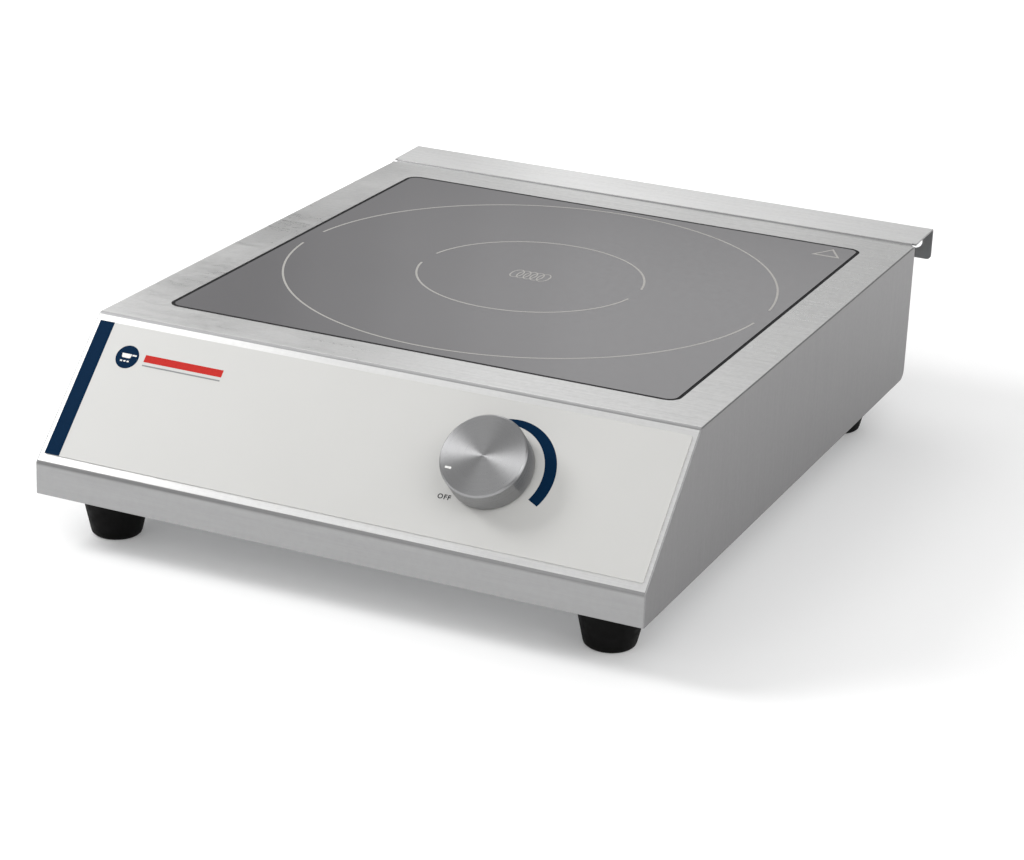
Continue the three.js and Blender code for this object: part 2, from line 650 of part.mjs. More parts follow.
add('fuse', fuse(), finish(0xd2d4d6, 0.3, 0.6));

// A round lead along a smooth route.
function lead(radius, route, steps) {
  const section = new THREE.Shape();
  section.absarc(0, 0, radius, 0, 2 * Math.PI);
  return new THREE.ExtrudeGeometry(section, {
    steps, curveSegments: 3, bevelEnabled: false,
    extrudePath: new THREE.CatmullRomCurve3(route.map((point) => new THREE.Vector3(...point))),
  });
}

const coilMiddle = COIL_TOP - COIL_HEIGHT / 2;
const landing = BOARD_TOP + GAP;
add('coil_lead_outer', lead(1.8, [
  [52.7, COIL_Y - 91.7, coilMiddle], [58, COIL_Y - 100.5, coilMiddle - 1], [62, COIL_Y - 108, 86],
  [60, COIL_Y - 104, 70], [50, -50, 56], [38, -26, 56], [36, -20, 50], [36, -20, landing + 0.4],
], 24), finish(0x8c2f22, 0.6, 0));
add('coil_lead_inner', lead(1.8, [
  [0, COIL_Y - 29.4, coilMiddle], [0, COIL_Y - 22, coilMiddle], [0, COIL_Y - 14, 92], [2, COIL_Y - 10, 82],
  [8, COIL_Y - 18, 68], [13, -8, 56], [14, -10, 48], [14, -10, landing + 0.4],
], 20), finish(0x8c2f22, 0.6, 0));
const plugSpot = onSlope(KNOB.across - 12, KNOB.up - 18, CONTROL_BACK - 8 - 2 * GAP);
const plugExit = onSlope(KNOB.across - 12, KNOB.up - 18, CONTROL_BACK - 18 - GAP);
add('control_cable', lead(2, [
  plugSpot.toArray(), plugExit.toArray(), [62, -130, 40], [66, -80, 38], [70, -45, 52], [74, -24, 54],
  [74, -22, 50], [74, -22, landing + 0.4],
], 24), finish(0x6a6a6c, 0.7, 0));

// ---------------------------------------------------------------- cooling fan

function fanFrame() {
  const low = DECK;
  const body = prism(roundedRectangle(FAN.side, FAN.side, FAN.corner, 0, 0, 3), low, low + FAN.height);
  const hub = rod(FAN.hub - 1, low, low + 3, 0, 0, 24);
  const struts = [45, 135, 225, 315].map((angle) => {
    const strut = new THREE.BoxGeometry(FAN.bore - 12, 4, 3);
    return solid(strut.translate(12 + (FAN.bore - 12) / 2 + 1, 0, low + 1.5).rotateZ(turn(angle)));
  });
  const bored = cut(solid(body), rod(FAN.bore, low - 1, low + FAN.height + 1, 0, 0, 40));
  return join(bored, hub, ...struts).translate([FAN.x, FAN.y, 0]);
}

function fanRotor() {
  const [low, high] = [DECK + 4, DECK + FAN.height - 3];
  const [span, thick, chord, pitch] = [27, 1.6, 20, 42];
  const wings = Array.from({ length: FAN.blades }, (_, i) => {
    const wing = new THREE.BoxGeometry(span, thick, chord);
    wing.rotateX(turn(pitch)).translate(28, 0, (low + high) / 2);
    return solid(wing.rotateZ(turn((i * 360) / FAN.blades)));
  });
  return join(rod(FAN.hub, low, high, 0, 0, 28), ...wings).translate([FAN.x, FAN.y, 0]);
}

add('fan_frame', fanFrame(), blackPlastic());
add('fan_rotor', fanRotor(), blackPlastic());

// ---------------------------------------------------------------- mains inlet

function cableGland() {
  const wall = WALL_Y + GAP;
  const gland = turned([
    [4.5, -14], [10, -14], [10, 0], [13.5, 0], [13.5, 5], [12, 5.5], [12, 12], [8, 16], [4.5, 16], [4.5, -14],
  ], 20);
  return stood(gland.rotateX(-Math.PI / 2), { x: GLAND.x, y: wall, z: GLAND.z });
}

function glandNut() {
  const inside = WALL_Y - SHEET - GAP;
  const nut = turned([[0, -5], [14, -5], [14, 0], [0, 0]], 6);
  const placed = stood(nut.rotateX(-Math.PI / 2), { x: GLAND.x, y: inside, z: GLAND.z });
  const bore = turned([[0, -8], [10.3, -8], [10.3, 3], [0, 3]], 24);
  return cut(solid(placed), solid(stood(bore.rotateX(-Math.PI / 2), { x: GLAND.x, y: inside, z: GLAND.z })));
}

add('cable_gland', cableGland(), blackPlastic());
add('gland_nut', glandNut(), blackPlastic());

export default hob;
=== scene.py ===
"""The looks of a countertop induction hob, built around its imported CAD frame.

Metres, +Z up, front towards -Y. Places and sizes come from the frame: the boxes of its nodes,
and the knob's joint, whose axis is square to the sloping front.
"""

import json
import math

import bmesh
import bpy
from mathutils import Matrix, Vector


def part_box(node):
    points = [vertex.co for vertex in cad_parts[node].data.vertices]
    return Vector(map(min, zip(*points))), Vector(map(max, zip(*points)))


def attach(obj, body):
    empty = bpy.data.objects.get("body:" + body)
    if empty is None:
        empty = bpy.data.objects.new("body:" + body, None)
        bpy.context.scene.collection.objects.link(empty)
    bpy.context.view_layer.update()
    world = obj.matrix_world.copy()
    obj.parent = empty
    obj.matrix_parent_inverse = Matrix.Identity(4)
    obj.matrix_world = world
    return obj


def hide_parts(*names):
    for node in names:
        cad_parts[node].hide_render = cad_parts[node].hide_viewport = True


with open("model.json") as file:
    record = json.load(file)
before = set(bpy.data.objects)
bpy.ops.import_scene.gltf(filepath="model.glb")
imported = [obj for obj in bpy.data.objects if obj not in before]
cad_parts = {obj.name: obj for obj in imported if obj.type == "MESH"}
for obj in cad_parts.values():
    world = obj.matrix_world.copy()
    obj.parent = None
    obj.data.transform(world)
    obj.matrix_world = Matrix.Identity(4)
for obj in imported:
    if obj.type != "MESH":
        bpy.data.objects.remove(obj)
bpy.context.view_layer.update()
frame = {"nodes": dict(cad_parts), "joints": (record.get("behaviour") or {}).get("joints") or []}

# -------- sizes from the frame

MM = 0.001

shell_low, shell_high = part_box("housing_shell")
tray_low, tray_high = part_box("base_tray")
glass_low, glass_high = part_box("glass_plate")
seal_low, seal_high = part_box("glass_seal")
knob_joint = next(joint for joint in frame["joints"] if joint["name"] == "knob_turn")

HALF = shell_high.x
FRONT = shell_low.y
BOTTOM = shell_low.z
TOP = glass_high.z
WALL = tray_high.y  # outer face of the rear wall
HOOK = shell_high.y  # outer face of the down-turned rear strip
HOOK_TOP = shell_high.z
SHEET = 1 * MM
GLASS_Y = (glass_low.y + glass_high.y) / 2

# The sloping front's own frame: x across, y up the slope from its lower fold, z out of it.
OUT = -Vector(knob_joint["axis"]).normalized()
UP = Vector((0, OUT.z, -OUT.y))
KNOB_AT = Vector(knob_joint["pos_m"])
KNOB_UP = (KNOB_AT.y - FRONT) / UP.y
FOLD = KNOB_AT.z - KNOB_UP * UP.z
SLOPE_LENGTH = (TOP - FOLD) / UP.z
SLOPE_RUN = SLOPE_LENGTH * UP.y
SLOPE = Matrix((
    (1, 0, 0, 0),
    (0, UP.y, OUT.y, FRONT),
    (0, UP.z, OUT.z, FOLD),
    (0, 0, 0, 1),
))
KNOB_FRAME = SLOPE @ Matrix.Translation((KNOB_AT.x, KNOB_UP, 0))

# -------- outlines


def rounded(corners, radii, steps=6):
    """Corner points replaced by arcs; a radius of 0 keeps the corner."""
    if not isinstance(radii, (list, tuple)):
        radii = [radii] * len(corners)
    outline = []
    for i, (corner, radius) in enumerate(zip(corners, radii)):
        here = Vector(corner)
        if not radius:
            outline.append(here)
            continue
        before = (Vector(corners[i - 1]) - here).normalized()
        after = (Vector(corners[(i + 1) % len(corners)]) - here).normalized()
        half = before.angle(after) / 2
        centre = here + (before + after).normalized() * (radius / math.sin(half))
        start = here + before * (radius / math.tan(half)) - centre
        end = here + after * (radius / math.tan(half)) - centre
        sweep = math.atan2(start.x * end.y - start.y * end.x, start.dot(end))
        for step in range(steps + 1):
            outline.append(centre + Matrix.Rotation(sweep * step / steps, 2) @ start)
    return outline


def rectangle(low, high, radius=0.0, steps=6):
    """A rectangle from two opposite corners, its own corners rounded by a radius."""
    corners = [(low[0], low[1]), (high[0], low[1]), (high[0], high[1]), (low[0], high[1])]
    return rounded(corners, radius, steps)


def slot(centre, width, height):
    """A slot with round ends, just short of full ones, so that no side is left without length."""
    nearly_full = 0.999
    half = Vector((width / 2, height / 2))
    middle = Vector(centre)
    radius = min(width, height) / 2 * nearly_full
    return rectangle(middle - half, middle + half, radius, 8)


def circle(radius, centre=(0, 0), steps=48, start=0.0, end=360.0):
    """A circle, or an arc between two angles in degrees."""
    closed = abs(end - start) >= 360
    count = steps if closed else steps + 1
    angles = [math.radians(start + (end - start) * i / steps) for i in range(count)]
    return [Vector((centre[0] + radius * math.cos(a), centre[1] + radius * math.sin(a))) for a in angles]


def offset_path(points, distance):
    """An open path moved to its right by a distance, with its corners mitred."""
    points = [Vector(point) for point in points]
    normals = []
    for a, b in zip(points, points[1:]):
        along = (b - a).normalized()
        normals.append(Vector((along.y, -along.x)))
    moved = [points[0] + normals[0] * distance]
    for point, n0, n1 in zip(points[1:-1], normals, normals[1:]):
        moved.append(point + (n0 + n1) * (distance / (1 + n0.dot(n1))))
    moved.append(points[-1] + normals[-1] * distance)
    return moved


def bent_sheet(path, thickness, radii):
    """The section of a bent sheet; the path is its outer face and the sheet lies to its right."""
    inner = offset_path(path, thickness)
    inner_radii = [max(radius - thickness, 0) for radius in radii]
    outer_face = rounded(path, [0, *radii, 0], 8)
    inner_face = rounded(inner, [0, *inner_radii, 0], 8)
    return outer_face + inner_face[::-1]


# -------- solids

ALONG_X = Matrix(((0, 0, 1, 0), (1, 0, 0, 0), (0, 1, 0, 0), (0, 0, 0, 1)))
ALONG_Y = Matrix(((1, 0, 0, 0), (0, 0, -1, 0), (0, 1, 0, 0), (0, 0, 0, 1)))
ALONG_Z = Matrix.Identity(4)


def from_bmesh(name, mesh_data):
    bmesh.ops.recalc_face_normals(mesh_data, faces=mesh_data.faces[:])
    mesh = bpy.data.meshes.new(name)
    mesh_data.to_mesh(mesh)
    mesh_data.free()
    piece = bpy.data.objects.new(name, mesh)
    bpy.context.scene.collection.objects.link(piece)
    return piece


def add_skin(target, loops):
    """Adds the faces between each loop of points and the next one."""
    for a, b in zip(loops, loops[1:]):
        for i in range(len(a)):
            j = (i + 1) % len(a)
            target.faces.new((a[i], a[j], b[j], b[i]))


def add_prism(target, outline, low, high, place=ALONG_Z):
    """Adds an outline raised from low to high, laid out by a matrix, to a bmesh."""
    below = [target.verts.new(place @ Vector((p[0], p[1], low))) for p in outline]
    above = [target.verts.new(place @ Vector((p[0], p[1], high))) for p in outline]
    target.faces.new(below[::-1])
    target.faces.new(above)
    add_skin(target, [below, above])


def prism(name, outline, low, high, place=ALONG_Z):
    target = bmesh.new()
    add_prism(target, outline, low, high, place)
    return from_bmesh(name, target)


def add_turned(target, profile, sides, place=ALONG_Z, radius_at=None):
    """Adds a turned solid about z from (radius, z) points that start and end on the axis or close up."""
    rings = []
    for radius, z in profile:
        if radius == 0:
            rings.append([target.verts.new(place @ Vector((0, 0, z)))])
            continue
        ring = []
        for i in range(sides):
            angle = 2 * math.pi * i / sides
            reach = radius_at(radius, z, angle) if radius_at else radius
            spot = Vector((reach * math.cos(angle), reach * math.sin(angle), z))
            ring.append(target.verts.new(place @ spot))
        rings.append(ring)
    pairs = list(zip(rings, rings[1:]))
    if len(rings[0]) > 1:
        pairs.append((rings[-1], rings[0]))
    for a, b in pairs:
        for i in range(sides):
            j = (i + 1) % sides
            corners = [a[i % len(a)], a[j % len(a)], b[j % len(b)], b[i % len(b)]]
            corners = [v for k, v in enumerate(corners) if v not in corners[:k]]
            if len(corners) > 2:
                target.faces.new(corners)


def turned(name, profile, sides=64, place=ALONG_Z, radius_at=None):
    target = bmesh.new()
    add_turned(target, profile, sides, place, radius_at)
    return from_bmesh(name, target)


def applied(piece, modifier):
    depsgraph = bpy.context.evaluated_depsgraph_get()
    made = bpy.data.meshes.new_from_object(piece.evaluated_get(depsgraph))
    piece.modifiers.remove(modifier)
    piece.data = made
    return piece


def carve(piece, cutter, operation="DIFFERENCE"):
    """A boolean of two pieces; the second one is used up."""
    modifier = piece.modifiers.new("carve", "BOOLEAN")
    modifier.operation = operation
    modifier.solver = "EXACT"
    modifier.object = cutter
    applied(piece, modifier)
    bpy.data.objects.remove(cutter)
    return piece


def soften(piece, degrees=32):
    """Smooth shading with crisp edges, and flat faces kept flat beside round ones."""
    mesh = piece.data
    mesh.polygons.foreach_set("use_smooth", [True] * len(mesh.polygons))
    mesh.set_sharp_from_angle(angle=math.radians(degrees))
    modifier = piece.modifiers.new("normals", "WEIGHTED_NORMAL")
    modifier.keep_sharp = True
    modifier.weight = 100
    return piece


def bevel_edges(piece, share, width):
    """Rounds edges; share(a, b) says how much of the width an edge with these ends gets, or 0."""
    mesh = piece.data
    weights = mesh.attributes.new("bevel_weight_edge", "FLOAT", "EDGE")
    for edge in mesh.edges:
        a, b = (mesh.vertices[i].co for i in edge.vertices)
        weights.data[edge.index].value = share(a, b)
    modifier = piece.modifiers.new("bevel", "BEVEL")
    modifier.limit_method = "WEIGHT"
    modifier.width = width
    modifier.segments = 6
    modifier.use_clamp_overlap = False
    return applied(piece, modifier)


def settle(piece, material, body, replaces=(), degrees=32):
    """Finishes a piece: shading, material, the body it rides on and the CAD nodes it stands for."""
    soften(piece, degrees)
    piece.data.materials.clear()
    piece.data.materials.append(material)
    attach(piece, body)
    if replaces:
        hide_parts(*replaces)
    return piece


# -------- materials


class Surface:
    """A material with one Principled shader and short ways to add texture to it."""

    def __init__(self, name, color, roughness, **sockets):
        self.material = bpy.data.materials.new(name)
        self.material.use_nodes = True
        self.nodes = self.material.node_tree.nodes
        self.links = self.material.node_tree.links
        self.shader = self.nodes["Principled BSDF"]
        self.color = color
        self.set("Base Color", (*color, 1))
        self.set("Roughness", roughness)
        for socket, value in sockets.items():
            self.set(socket.replace("_", " "), value)
        self.place = self.nodes.new("ShaderNodeTexCoord").outputs["Object"]

    def set(self, socket, value):
        self.shader.inputs[socket].default_value = value

    def noise(self, scale, detail, stretch=(1, 1, 1)):
        mapping = self.nodes.new("ShaderNodeMapping")
        mapping.inputs["Scale"].default_value = stretch
        self.links.new(self.place, mapping.inputs["Vector"])
        texture = self.nodes.new("ShaderNodeTexNoise")
        texture.inputs["Scale"].default_value = scale
        texture.inputs["Detail"].default_value = detail
        self.links.new(mapping.outputs["Vector"], texture.inputs["Vector"])
        return texture.outputs["Fac"]

    def math(self, operation, a, b):
        node = self.nodes.new("ShaderNodeMath")
        node.operation = operation
        for socket, value in zip(node.inputs, (a, b)):
            if isinstance(value, (int, float)):
                socket.default_value = value
            else:
                self.links.new(value, socket)
        return node.outputs["Value"]

    def spread(self, value, low, high, low_in=0.3, high_in=0.7):
        """A texture's middle range mapped to low..high."""
        node = self.nodes.new("ShaderNodeMapRange")
        self.links.new(value, node.inputs["Value"])
        node.inputs["From Min"].default_value = low_in
        node.inputs["From Max"].default_value = high_in
        node.inputs["To Min"].default_value = low
        node.inputs["To Max"].default_value = high
        return node.outputs["Result"]

    def tint(self, value, amount, other=None):
        """Varies the colour towards a darker one, or another one, by a texture."""
        mix = self.nodes.new("ShaderNodeMix")
        mix.data_type = "RGBA"
        dark = other or [channel * (1 - amount) for channel in self.color]
        self.links.new(value, mix.inputs["Factor"])
        mix.inputs["A"].default_value = (*self.color, 1)
        mix.inputs["B"].default_value = (*dark, 1)
        self.links.new(mix.outputs["Result"], self.shader.inputs["Base Color"])

    def rough(self, value):
        self.links.new(value, self.shader.inputs["Roughness"])

    def bump(self, height, depth, strength=1.0):
        """Raises the surface by a texture; depth is in metres."""
        node = self.nodes.new("ShaderNodeBump")
        node.inputs["Strength"].default_value = strength
        node.inputs["Distance"].default_value = depth
        self.links.new(height, node.inputs["Height"])
        self.links.new(node.outputs["Normal"], self.shader.inputs["Normal"])

    def tangent(self, direction):
        """The direction of the grain, for a stretched highlight."""
        node = self.nodes.new("ShaderNodeCombineXYZ")
        for socket, value in zip(node.inputs, direction):
            socket.default_value = value
        self.links.new(node.outputs["Vector"], self.shader.inputs["Tangent"])


def brushed_steel(name, grain, color, roughness=0.33, depth=1.0):
    """Stainless sheet with a satin grain that runs along one axis; depth scales how strong it is."""

    def scales(across, along):
        """A noise's scale on each axis, fine across the grain and long-drawn along it."""
        return [along if part else across for part in grain]

    made = Surface(name, color, roughness, Metallic=1.0, Anisotropic=0.6, Anisotropic_Rotation=0.25)
    fine = made.noise(1, 2, scales(2600, 40))
    coarse = made.noise(1, 3, scales(420, 22))
    cloud = made.noise(9, 2)
    speckle = made.noise(380, 2)
    lines = made.math("ADD", made.math("MULTIPLY", fine, 0.4), made.math("MULTIPLY", coarse, 0.3))
    streaks = made.math("ADD", lines, made.math("MULTIPLY", speckle, 0.3))
    made.tint(made.spread(streaks, 0, 1), 0.10 * depth)
    wear = made.math("ADD", made.math("MULTIPLY", streaks, 0.7), made.math("MULTIPLY", cloud, 0.3))
    made.rough(made.spread(wear, roughness - 0.05 * depth, roughness + 0.06 * depth))
    made.bump(lines, 0.004 * MM, 0.5 * depth)
    made.tangent(grain)
    return made.material


def zinc_sheet(name, color, roughness):
    """Zinc-coated sheet with its faint spangle."""
    made = Surface(name, color, roughness, Metallic=1.0)
    cells = made.nodes.new("ShaderNodeTexVoronoi")
    cells.inputs["Scale"].default_value = 130
    made.links.new(made.place, cells.inputs["Vector"])
    shade = made.nodes.new("ShaderNodeSeparateColor")
    made.links.new(cells.outputs["Color"], shade.inputs["Color"])
    made.tint(made.spread(shade.outputs["Red"], 0, 1, 0, 1), 0.14)
    made.rough(made.spread(shade.outputs["Green"], roughness - 0.05, roughness + 0.08, 0, 1))
    made.bump(made.noise(900, 2), 0.01 * MM, 0.4)
    return made.material


def bright_zinc(name):
    made = Surface(name, (0.62, 0.63, 0.65), 0.3, Metallic=1.0)
    scuffs = made.noise(1400, 3)
    made.tint(made.spread(scuffs, 0, 1), 0.15)
    made.rough(made.spread(made.noise(500, 2), 0.22, 0.4))
    made.bump(scuffs, 0.01 * MM, 0.4)
    return made.material


def ceramic_glass(name):
    """Dark grey glass ceramic: polished, with a very faint waviness and dusty wear."""
    made = Surface(name, (0.136, 0.133, 0.138), 0.17, IOR=1.52)
    dust = made.noise(260, 4)
    made.tint(made.spread(made.noise(7, 3), 0, 1), 0.06)
    made.rough(made.spread(dust, 0.14, 0.2))
    made.bump(made.noise(16, 2), 0.01 * MM, 0.04)
    return made.material


def silicone(name):
    made = Surface(name, (0.004, 0.004, 0.0045), 0.6, Specular_IOR_Level=0.12)
    made.tint(made.spread(made.noise(300, 3), 0, 1), 0, (0.009, 0.009, 0.01))
    made.rough(made.spread(made.noise(700, 2), 0.52, 0.68))
    made.bump(made.noise(350, 2), 0.02 * MM, 0.4)
    return made.material


def overlay(name):
    """The printed polyester overlay: warm white with a fine satin texture under a thin coat."""
    made = Surface(name, (0.555, 0.553, 0.538), 0.42, IOR=1.48)
    made.tint(made.spread(made.noise(11, 3), 0, 1), 0.025)
    made.rough(made.spread(made.noise(60, 3), 0.38, 0.46))
    made.bump(made.noise(3200, 2), 0.006 * MM, 0.35)
    return made.material


def ink(name, color, roughness=0.34):
    """Screen-printed ink, a little uneven."""
    made = Surface(name, color, roughness, IOR=1.45, Specular_IOR_Level=0.015)
    made.tint(made.spread(made.noise(900, 3), 0, 1), 0.12)
    made.rough(made.spread(made.noise(1500, 2), roughness - 0.05, roughness + 0.06))
    made.bump(made.noise(2600, 2), 0.004 * MM, 0.3)
    return made.material


def rubber(name, color=(0.0022, 0.0022, 0.0022), roughness=0.62):
    made = Surface(name, color, roughness, IOR=1.5, Specular_IOR_Level=0.1)
    made.tint(made.spread(made.noise(120, 4), 0, 1), 0.0, [c * 1.9 for c in color])
    made.rough(made.spread(made.noise(240, 3), roughness - 0.08, roughness + 0.14))
    made.bump(made.noise(1900, 3), 0.03 * MM, 0.35)
    return made.material


def moulded(name, color, roughness=0.5):
    """Moulded plastic with a fine spark-eroded texture."""
    grain = 1400
    made = Surface(name, color, roughness, IOR=1.46)
    made.tint(made.spread(made.noise(70, 3), 0, 1), 0.08)
    made.rough(made.spread(made.noise(grain / 3, 2), roughness - 0.06, roughness + 0.08))
    made.bump(made.noise(grain, 2), 0.02 * MM, 0.35)
    return made.material


def spun_aluminium(name):
    """Turned aluminium: fine circular grooves about the piece's own z, and a wheel-shaped highlight."""
    made = Surface(name, (0.35, 0.35, 0.355), 0.3, Metallic=1.0, Anisotropic=0.86,
                   Anisotropic_Rotation=0.25)
    split = made.nodes.new("ShaderNodeSeparateXYZ")
    made.links.new(made.place, split.inputs["Vector"])
    x, y = split.outputs["X"], split.outputs["Y"]
    square = made.math("ADD", made.math("MULTIPLY", x, x), made.math("MULTIPLY", y, y))
    radius = made.math("SQRT", square, 0)
    profile = made.nodes.new("ShaderNodeCombineXYZ")
    made.links.new(radius, profile.inputs["X"])
    made.links.new(split.outputs["Z"], profile.inputs["Y"])
    grooves = made.nodes.new("ShaderNodeTexNoise")
    grooves.inputs["Scale"].default_value = 5200
    grooves.inputs["Detail"].default_value = 2
    made.links.new(profile.outputs["Vector"], grooves.inputs["Vector"])
    made.tint(made.spread(grooves.outputs["Fac"], 0, 1), 0.12)
    made.rough(made.spread(grooves.outputs["Fac"], 0.26, 0.36))
    made.bump(grooves.outputs["Fac"], 0.004 * MM, 0.4)
    tangent = made.nodes.new("ShaderNodeTangent")
    tangent.direction_type = "RADIAL"
    tangent.axis = "Z"
    made.links.new(tangent.outputs["Tangent"], made.shader.inputs["Tangent"])
    return made.material


def wound_copper(name):
    """A flat coil of stranded wire: rings about the coil's middle."""
    made = Surface(name, (0.55, 0.23, 0.11), 0.38, Metallic=0.8)
    shifted = made.nodes.new("ShaderNodeMapping")
    shifted.inputs["Location"].default_value = (0, -GLASS_Y, 0)
    made.links.new(made.place, shifted.inputs["Vector"])
    rings = made.nodes.new("ShaderNodeTexWave")
    rings.wave_type = "RINGS"
    rings.rings_direction = "Z"
    rings.inputs["Scale"].default_value = 50
    made.links.new(shifted.outputs["Vector"], rings.inputs["Vector"])
    made.tint(made.spread(rings.outputs["Fac"], 1, 0, 0, 1), 0.5)
    made.rough(made.spread(made.noise(900, 2), 0.3, 0.5))
    made.bump(rings.outputs["Fac"], 0.8 * MM, 0.6)
    return made.material


def circuit_board(name):
    made = Surface(name, (0.02, 0.11, 0.045), 0.35, IOR=1.55)
    tracks = made.nodes.new("ShaderNodeTexVoronoi")
    tracks.distance = "MANHATTAN"
    tracks.feature = "DISTANCE_TO_EDGE"
    tracks.inputs["Scale"].default_value = 260
    made.links.new(made.place, tracks.inputs["Vector"])
    made.tint(made.spread(tracks.outputs["Distance"], 1, 0, 0.02, 0.1), 0, (0.035, 0.17, 0.075))
    made.rough(made.spread(made.noise(500, 2), 0.3, 0.45))
    made.bump(tracks.outputs["Distance"], 0.03 * MM, 0.3)
    return made.material


def flaky_mica(name):
    made = Surface(name, (0.42, 0.33, 0.2), 0.35, IOR=1.56)
    flakes = made.noise(60, 5, (1, 1, 3))
    made.tint(made.spread(flakes, 0, 1), 0, (0.56, 0.48, 0.34))
    made.rough(made.spread(made.noise(200, 3), 0.25, 0.5))
    made.bump(flakes, 0.05 * MM, 0.4)
    return made.material


def braided(name, color):
    """A woven sleeve round a lead."""
    made = Surface(name, color, 0.6, IOR=1.45)
    weave = made.nodes.new("ShaderNodeTexChecker")
    weave.inputs["Scale"].default_value = 1600
    made.links.new(made.place, weave.inputs["Vector"])
    made.tint(weave.outputs["Fac"], 0.35)
    made.bump(weave.outputs["Fac"], 0.05 * MM, 0.4)
    return made.material


def worn_brass(name):
    made = Surface(name, (0.62, 0.45, 0.18), 0.3, Metallic=1.0)
    made.tint(made.spread(made.noise(400, 4), 0, 1), 0.25)
    made.rough(made.spread(made.noise(900, 2), 0.22, 0.42))
    return made.material


def sintered(name):
    made = Surface(name, (0.03, 0.03, 0.032), 0.6, IOR=1.7)
    made.tint(made.spread(made.noise(900, 4), 0, 1), 0, (0.06, 0.058, 0.056))
    made.bump(made.noise(2200, 3), 0.05 * MM, 0.5)
    return made.material


def bare_aluminium(name):
    made = Surface(name, (0.58, 0.59, 0.6), 0.4, Metallic=1.0)
    drawn = made.noise(1, 2, (1500, 12, 1500))
    made.tint(made.spread(drawn, 0, 1), 0.15)
    made.rough(made.spread(drawn, 0.34, 0.5))
    made.bump(drawn, 0.01 * MM, 0.4)
    return made.material


ACROSS, UPRIGHT = (1, 0, 0), (0, 0, 1)  # directions of the steel's grain

# Lit and shaded copies of one stainless steel, one for each kind of face of the casing, in the order of its
# material slots. Their colours are painted light and shade: the sides, the lip and the folds are painted
# darker as shade, and the slope and the rear strip are painted lighter as highlight.
CASING_LIT_AND_SHADED_STEELS = {
    "top": brushed_steel("steel_grain_across", ACROSS, (0.69, 0.69, 0.685), depth=2.4),
    "side": brushed_steel("steel_upright_grain_painted_shade", UPRIGHT, (0.29, 0.287, 0.29), 0.46, 0.6),
    "lip": brushed_steel("steel_lip_painted_shade", ACROSS, (0.38, 0.38, 0.382), depth=0.9),
    "strip": brushed_steel("steel_strip_painted_highlight", ACROSS, (0.83, 0.83, 0.825), depth=1.6),
    "bend": brushed_steel("steel_fold_painted_shade", ACROSS, (0.33, 0.33, 0.332), 0.4),
    "slope": brushed_steel("steel_slope_painted_light", ACROSS, (0.8, 0.8, 0.795), 0.46, 1.6),
}
galvanised = zinc_sheet("galvanised_sheet", (0.47, 0.48, 0.49), 0.42)
zinc = bright_zinc("bright_zinc_plate")
black_plastic = moulded("black_moulded_plastic", (0.014, 0.014, 0.015), 0.45)
pale_plastic = moulded("pale_moulded_plastic", (0.62, 0.59, 0.51), 0.5)
navy = ink("navy_ink", (0.003, 0.019, 0.052))
red = ink("red_ink", (0.52, 0.035, 0.03))
grey_ink = ink("dark_grey_ink", (0.05, 0.05, 0.052))
pale_ink = ink("pale_grey_ink", (0.28, 0.285, 0.29))
glass_print = ink("pale_glass_print", (0.42, 0.41, 0.39), 0.4)
white_paint = ink("white_paint", (0.82, 0.82, 0.8))
black_rubber = rubber("black_rubber")

# -------- camera

AZIMUTH, ELEVATION, ROLL = math.radians(23.83), math.radians(20.87), math.radians(2.37)
AIM = Vector((0, 0, 21 * MM))
DISTANCE = 1.5826
LENS, SENSOR = 103.15, 36  # millimetres


def make_camera():
    back = Vector((
        math.sin(AZIMUTH) * math.cos(ELEVATION),
        -math.cos(AZIMUTH) * math.cos(ELEVATION),
        math.sin(ELEVATION),
    ))
    data = bpy.data.cameras.new("camera")
    data.lens = LENS
    data.sensor_width = SENSOR
    data.clip_start = 0.05
    data.clip_end = 100
    camera = bpy.data.objects.new("camera", data)
    bpy.context.scene.collection.objects.link(camera)
    camera.rotation_mode = "QUATERNION"
    level = back.to_track_quat("Z", "Y")
    camera.rotation_quaternion = level @ Matrix.Rotation(ROLL, 3, "Z").to_quaternion()
    camera.location = AIM + back * DISTANCE
    bpy.context.scene.camera = camera


make_camera()

# -------- casing

BEND = 1.8 * MM  # how far the folds round off
SIDE_BEND = 0.45  # and the side edges, as a share of that
HEEL = 6 * MM  # round rear lower corner of the sides
FLANGE = 12 * MM
FLANGE_REACH = 100 * MM
FLANGE_GAP = 1.3 * MM  # between the tray's rear wall and the upright flanges
HOOK_START = WALL + SHEET  # where the strip behind the casing begins
HOOK_DROP = 18.5 * MM
HOOK_STEP = 1 * MM  # the strip is stepped up where it starts,
STEP_RUN = 0.6 * MM  # over this short way
HOOK_CORNER = 2.5 * MM
HOLE_RADIUS = 4.2 * MM
HOLE_FROM_SIDE = 9.8 * MM
HOLE_BELOW_TOP = 7 * MM
NOTCH = (2.2 * MM, 1.2 * MM)  # relief beside the strip: in from the side, and past its start
SPINDLE_HOLE = 4.8 * MM  # radius, behind the knob
WINDOW_GAP = 0.3 * MM
WINDOW_CORNER = 7 * MM
PAST = 5 * MM  # how far a cutter stands out past what it cuts


def side_path():
    """The casing seen from the side, from the lip's foot over the slope to the rear."""
    in_strip = SHEET / 2
    return [(FRONT, BOTTOM), (FRONT, FOLD), (FRONT + SLOPE_RUN, TOP), (WALL + in_strip, TOP)]


